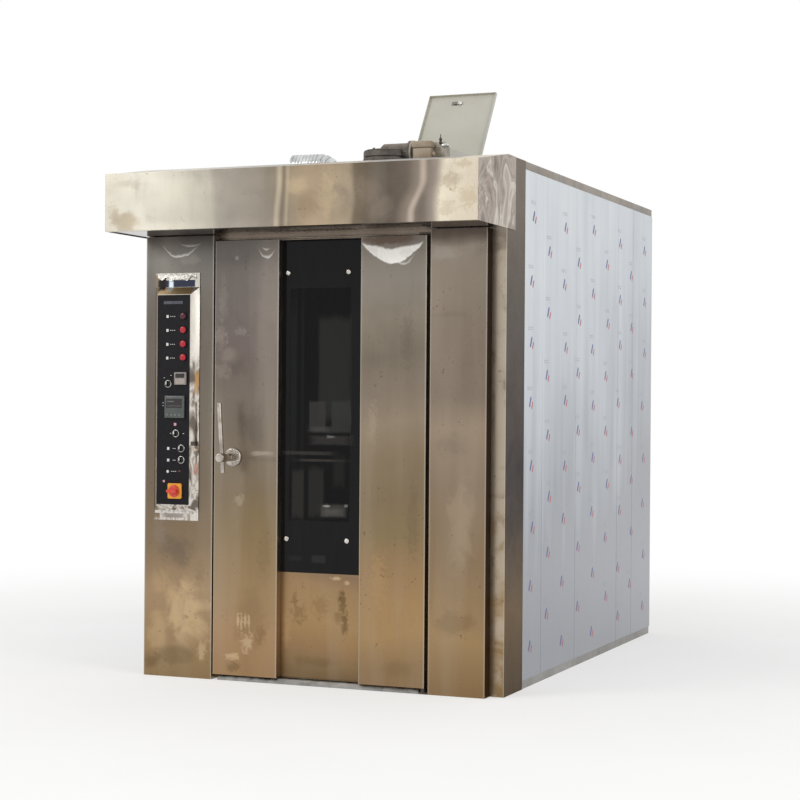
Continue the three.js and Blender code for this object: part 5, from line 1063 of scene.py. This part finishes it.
# Patches on the mirror bevels are painted reflections: beige and dark blue bands at the top, a brown line on
# the left, orange and dark marks on the right, a grey band at the foot; the pale one at the top is a shred
# of film.
for *spot, patch in [
        (-0.661, 1.665, 0.19, 0.032, 0.04, 1.0, "#b89e76"),
        (-0.742, 1.21, 0.028, 1.06, 0.05, 1.0, "#83735f"),
        (-0.546, 1.285, 0.008, 0.040, 2.2, 0.8, "#c79a5c"),
        (-0.549, 1.240, 0.008, 0.030, 2.2, 0.8, "#d0a678"),
        (-0.556, 1.345, 0.006, 0.030, 2.0, 0.9, "#5b5048"),
        (-0.555, 1.215, 0.006, 0.040, 2.0, 0.9, "#6b5d52"),
        (-0.548, 0.90, 0.014, 0.05, 0.7, 0.6, "#a3604a"),
        (-0.552, 1.008, 0.022, 0.018, 0.2, 0.9, "#453e38"),
        (-0.653, 1.697, 0.18, 0.030, 0.05, 1.0, "#343846"),
        (-0.680, 1.700, 0.020, 0.060, 0.9, 1.0, "#d3dde6"),
        (-0.720, 1.697, 0.030, 0.060, 0.6, 1.0, "#2a2624"),
        (-0.66, 0.700, 0.10, 0.026, 0.6, 0.7, "#7b7068")]:
    colour = overlay(tree, colour, patch, soft_patch(tree, place, shards, *spot))
close_material(tree, {"Metallic": 0.9, "Base Color": colour,
                      "Roughness": remap(tree, peeled, (0.0, 1.0), (0.34, 0.10)),
                      "Normal": bumps(tree, shards, 0.25, 0.002)})


def frame_rings(x0, x1, z0, z1, rows):
    """Rings of a mitred frame: the rectangle drawn in by (side, end) at each depth."""
    corners = np.array([[0, 0], [1, 0], [1, 1], [0, 1]])
    rings = []
    for side, end, depth in rows:
        x, z = np.array([x0 + side, x1 - side]), np.array([z0 + end, z1 - end])
        flat = eased(np.stack([x[corners[:, 0]], z[corners[:, 1]]], -1), 1.2, 2, closed=True)
        rings.append(np.stack([flat[:, 0], np.full(len(flat), depth), flat[:, 1]], -1))
    return np.stack(rings)


plate_size, bevel_size = (-756, -540, 676, 1743), (-756, -540, 711, 1681)
outer_rows = [(0.8, 0.8, -60.4), (0, 0, -61.0), (0, 0, -62.6), (0.7, 0.7, -63.3)]
plate = skin(np.concatenate([frame_rings(*plate_size, outer_rows),
                             frame_rings(*bevel_size, [(10, 10, -63.3), (10, 10, -60.4)]),
                             frame_rings(*plate_size, outer_rows[:1])]), caps=False)
bevel_rows = [(0.0, 0.0, -63.2), (0.6, 0.7, -64.0), (25.2, 31.2, -95.3), (26.2, 32.2, -96.0),
              (28.2, 34.2, -96.0), (28.8, 34.8, -95.4), (28.8, 34.8, -88.0), (26.0, 32.0, -88.0),
              (3.0, 3.0, -63.2), (0.0, 0.0, -63.2)]
bevel = skin(frame_rings(*bevel_size, bevel_rows), caps=False)
piece("panel_bezel", gathered(plate, bevel), "cabinet", film_steel, ["panel_frame"],
      sharp=25)


def torn_film(x0, x1, z0, z1, depth, seed, lift):
    """Loose strip of film: a sheet whose free edge is ragged and curls away from the steel."""
    across, share = np.meshgrid(np.linspace(x0, x1, 60), np.linspace(0, 1, 14))
    ragged = (0.6 + 0.45 * ripple(across, 0 * across, 60.0, seed)
              + 0.15 * ripple(across, 0 * across, 17.0, seed + 1))
    height = z0 + (z1 - z0) * share * np.clip(ragged, 0.2, 1.0)
    away = depth - lift * share ** 2 * (0.6 + 0.4 * ripple(across, share * 20, 45.0, seed + 2)) - 0.3
    return open_sheet(across, away, height)


loose_film = plain_finish("loose_clear_film", "#dad7d0", "#a9a297", 90.0, 0.25, 0.35, 0.8, 0.5)
for end, strip in (("top", torn_film(-744, -556, 1741, 1700, -63.5, 41, 7.0)),
                   ("foot", torn_film(-750, -566, 706, 738, -68.0, 51, 9.0))):
    piece(f"torn_film_{end}", strip, "cabinet", loose_film, thickness=0.3)


# ---------------------------------------------------------------- controls
# Satin black fascia with moulded plastic push buttons, selectors in chromed rings, a timer, a
# temperature controller, and a red rotary switch on a yellow plate; small plain marks beside them.
fascia_face, instrument_face = -96.1, -104.8


def raised(x0, x1, z0, z1, proud, radius, face=fascia_face):
    """Small soft-edged block standing on the fascia, or on another face of that depth."""
    return soft_box(x0, x1, face - proud, face, z0, z1, radius, 1)


dress("panel_fascia", plain_finish("satin_black_fascia", "#18161a", "#131214", 50.0, 0.45, 0.0, 0.15,
                                   shine=0.15))
button_red = plain_finish("red_button_plastic", "#b82433", "#a01c2a", 70.0, 0.30, coat=0.2, shine=0.3)
button_dark = plain_finish("maroon_button_plastic", "#521528", "#3c0f1f", 70.0, 0.25, coat=0.3, shine=0.3)
button = eased([(0.1, -107.2), (8, -106.6), (14, -104.0), (14, -63), (0.1, -63)], 2.0, 4)
for number, z in enumerate((1555, 1496, 1436, 1378), 1):
    piece(f"button_cap_{number}", lathe(button, "d", (-600, 0, z), 40), f"button_{number}",
          button_red if number > 1 else button_dark, [f"push_button_{number}"])
chrome_ring = plain_finish("chromed_ring", "#e6e4e0", "#a6a29c", 80.0, 0.10, 1.0)
knob_black = plain_finish("black_knob_plastic", "#1d1d1e", "#141415", 70.0, 0.32, 0.0, 0.1)
mark_white = plain_finish("white_mark_paint", "#dad8d5", "#c4c2bf", 90.0, 0.5)
ring_profile = eased([(12.8, -96.1), (12.8, -98.6), (14.2, -99.4), (16.2, -98.2), (16.6, -96.1)], 0.8, 3)
knob_profile = eased([(0.1, -105.0), (10.5, -105.0), (12, -103.5), (12, -66), (0.1, -66)], 1.0, 3)
for number, (x, z) in enumerate([(-673, 1264), (-634, 1051), (-607, 987), (-607, 938)], 1):
    piece(f"selector_ring_{number}", hoop(ring_profile, "d", (x, 0, z), 40), "cabinet",
          chrome_ring)
    grip = soft_box(x - 3.5, x + 3.5, -116, -104.5, z - 10, z + 11.5, 1.6)
    piece(f"selector_cap_{number}", gathered(lathe(knob_profile, "d", (x, 0, z), 40), grip),
          f"selector_{number}", knob_black, [f"selector_knob_{number}"])
    pointer = raised(x - 2.6, x + 2.6, z - 3, z + 10.5, 1.2, 0.5, -115.2)
    piece(f"selector_mark_{number}", pointer, f"selector_{number}", mark_white)
timer_grey = plain_finish("grey_timer_plastic", "#8f8781", "#7d7570", 60.0, 0.4)
display_dark = plain_finish("dark_display_window", "#2c2425", "#1f1a1b", 40.0, 0.12)
timer_pale = plain_finish("pale_timer_plastic", "#a49b94", "#948b84", 60.0, 0.45)
control_green = plain_finish("grey_green_instrument", "#4b514c", "#3a403d", 35.0, 0.30, coat=0.3)
display_pale = plain_finish("pale_display_strip", "#6f7772", "#565d59", 50.0, 0.2)
timer_case = gathered(soft_box(-640, -582, -105.3, -96.5, 1260, 1314, 2.5),
                      soft_box(-636, -586, -97, -30.6, 1264, 1310, 2))
control_case = gathered(soft_box(-686, -590, -105.3, -96.5, 1117, 1213, 3.0),
                        soft_box(-682, -594, -97, -30.6, 1121, 1209, 2))
strips = gathered(raised(-672, -640, 1186, 1190, 0.7, 0.3, -105.5),
                  raised(-672, -606, 1168, 1170, 0.7, 0.3, -105.5),
                  *(raised(x, x + 12, 1127, 1135, 2.2, 0.8, instrument_face)
                    for x in (-678, -658, -638, -618)))
for name, shape, finish, stands_for in [
        ("timer_case", timer_case, timer_grey, ["timer"]),
        ("timer_window", raised(-633, -589, 1290, 1308, 1.2, 0.5, instrument_face), display_dark, ()),
        ("timer_plate", raised(-634, -588, 1264, 1286, 1.4, 0.6, instrument_face), timer_pale, ()),
        ("controller_case", control_case, control_green, ["temperature_controller"]),
        ("controller_window", raised(-678, -600, 1160, 1200, 1.1, 0.5, instrument_face), display_dark, ()),
        ("controller_strips", strips, display_pale, ())]:
    piece(name, shape, "cabinet", finish, stands_for)



def stepped_plate(outline, middle, levels):
    """An (x, z) outline pushed along the depth: each level is (how far it is drawn in, depth)."""
    rings = [np.column_stack([middle[0] + (outline[:, 0] - middle[0]) * grow, np.full(len(outline), depth),
                              middle[1] + (outline[:, 1] - middle[1]) * grow]) for grow, depth in levels]
    return skin(np.stack(rings))


switch_yellow = plain_finish("yellow_switch_plate", "#eba32c", "#de9220", 30.0, 0.35, coat=0.2)
corners = [(-664, 771), (-606, 771), (-602, 775), (-602, 833), (-606, 837), (-664, 837), (-668, 833),
           (-668, 775)]
switch_x, switch_z = -635, 804
plate = stepped_plate(eased(corners, 1.5, 2, closed=True), (switch_x, switch_z),
                      [(1.0, -96.4), (1.0, -103.4), (0.975, -104.3)])
piece("switch_plate", plate, "cabinet", switch_yellow, ["main_switch_plate"])
switch_red = plain_finish("red_switch_plastic", "#d83a22", "#c42f1b", 40.0, 0.30, coat=0.4)
skirt = eased([(0.1, -115.0), (20, -115.0), (25, -110.6), (25, -104.7), (6, -104.7), (6, -70), (0.1, -70)],
              2.0, 4)
nose = eased([(-613, 796.5), (-613, 811.5), (-657, 811.5), (-663, switch_z), (-657, 796.5)], 2.5, 3,
             closed=True)
handle = gathered(lathe(skirt, "d", (switch_x, 0, switch_z), 56),
                  stepped_plate(nose, (-637, switch_z), [(1.0, -113.5), (1.0, -128.6), (0.9, -130.6)]))
piece("switch_handle", handle, "main_switch", switch_red, ["main_switch_knob"])
squares = [(-678, 1554), (-678, 1494), (-678, 1434), (-678, 1375), (-670, 986), (-670, 936)]
dashes = [(x + 13 + 9 * step, z) for x, z in squares[:4] for step in range(3)]
dashes += [(-648, 986), (-640, 986), (-648, 936), (-640, 936), (-655, 888), (-646, 888), (-637, 888),
           (-662, 1051), (-600, 1051), (-700, 1182), (-700, 1170), (-695, 1290), (-662, 1300)]
marks = gathered(*(raised(x - 5.5, x + 5.5, z - 6, z + 6, 0.9, 0.4) for x, z in squares),
                 *(raised(x, x + 6, z - 1.2, z + 1.2, 0.4, 0.15) for x, z in dashes),
                 lathe([(0.1, -96.1), (6.0, -96.1), (6.0, -96.9), (0.1, -96.9)], "d", (-672, 0, 887), 24))
badge = plain_finish("blank_badge_grey", "#4a4c55", "#3d3f47", 50.0, 0.4)
lamp_pink = plain_finish("frosted_pink_lens", "#d8a5ad", "#bf8f98", 60.0, 0.3)
lens_red = plain_finish("dark_red_lens", "#5f2a30", "#4a1f25", 60.0, 0.3)
lamps = gathered(raised(-643, -631, 1084, 1096, 1.9, 0.8), raised(-695, -685, 840, 850, 1.9, 0.8))
for name, shape, finish in [
        ("panel_marks", marks, mark_white),
        ("blank_badge", raised(-697, -605, 1607, 1620, 0.8, 0.3), badge),
        ("panel_lamps", lamps, lamp_pink),
        ("panel_red_lens", raised(-622, -608, 885, 893, 1.5, 0.7), lens_red)]:
    piece(name, shape, "cabinet", finish)


# ---------------------------------------------------------------- baking chamber and hot-air plant
# Mill-finish stainless, mineral wool, heat-tinted heater tubes and sand-cast gutters, with the wheel
# and the rotor shaft in zinc; all behind the skin, seen through the window or with the door open.
inner_steel = brushed_stainless("mill_finish_304", [(0.0, "#8d867b"), (1.0, "#a8a196")], 0.0, 2.0,
                                gloss_at=0.42)
for node in ("chamber_liner", "air_baffle", "rack_carrier", "door_core"):
    dress(node, inner_steel)
wool, tree, place = new_material("mineral_wool")
fibres = noise(tree, place, 160.0, 6.0, distortion=1.5)
close_material(tree, {"Roughness": 0.95,
                      "Base Color": ramp(tree, fibres, [(0.3, "#6f6c42"), (0.7, "#a9a36c")]),
                      "Normal": bumps(tree, fibres, 0.8, 0.004)})
dress("insulation_jacket", wool)
glowed, tree, place = new_material("heat_tinted_tube")
tint_stops = [(0.35, "#4b4038"), (0.50, "#6d5a44"), (0.65, "#55525c")]
close_material(tree, {"Metallic": 1.0, "Roughness": 0.42,
                      "Base Color": ramp(tree, noise(tree, place, 6.0, 4.0), tint_stops)})
dress("heater_bank", glowed)
dress("steam_cascade", cast_paint("bare_cast_iron", "#5c5753", "#3d3937", "#8d847a"))
dress("fan_wheel", zinc_skin)
dress("rotor_shaft", zinc_rail)
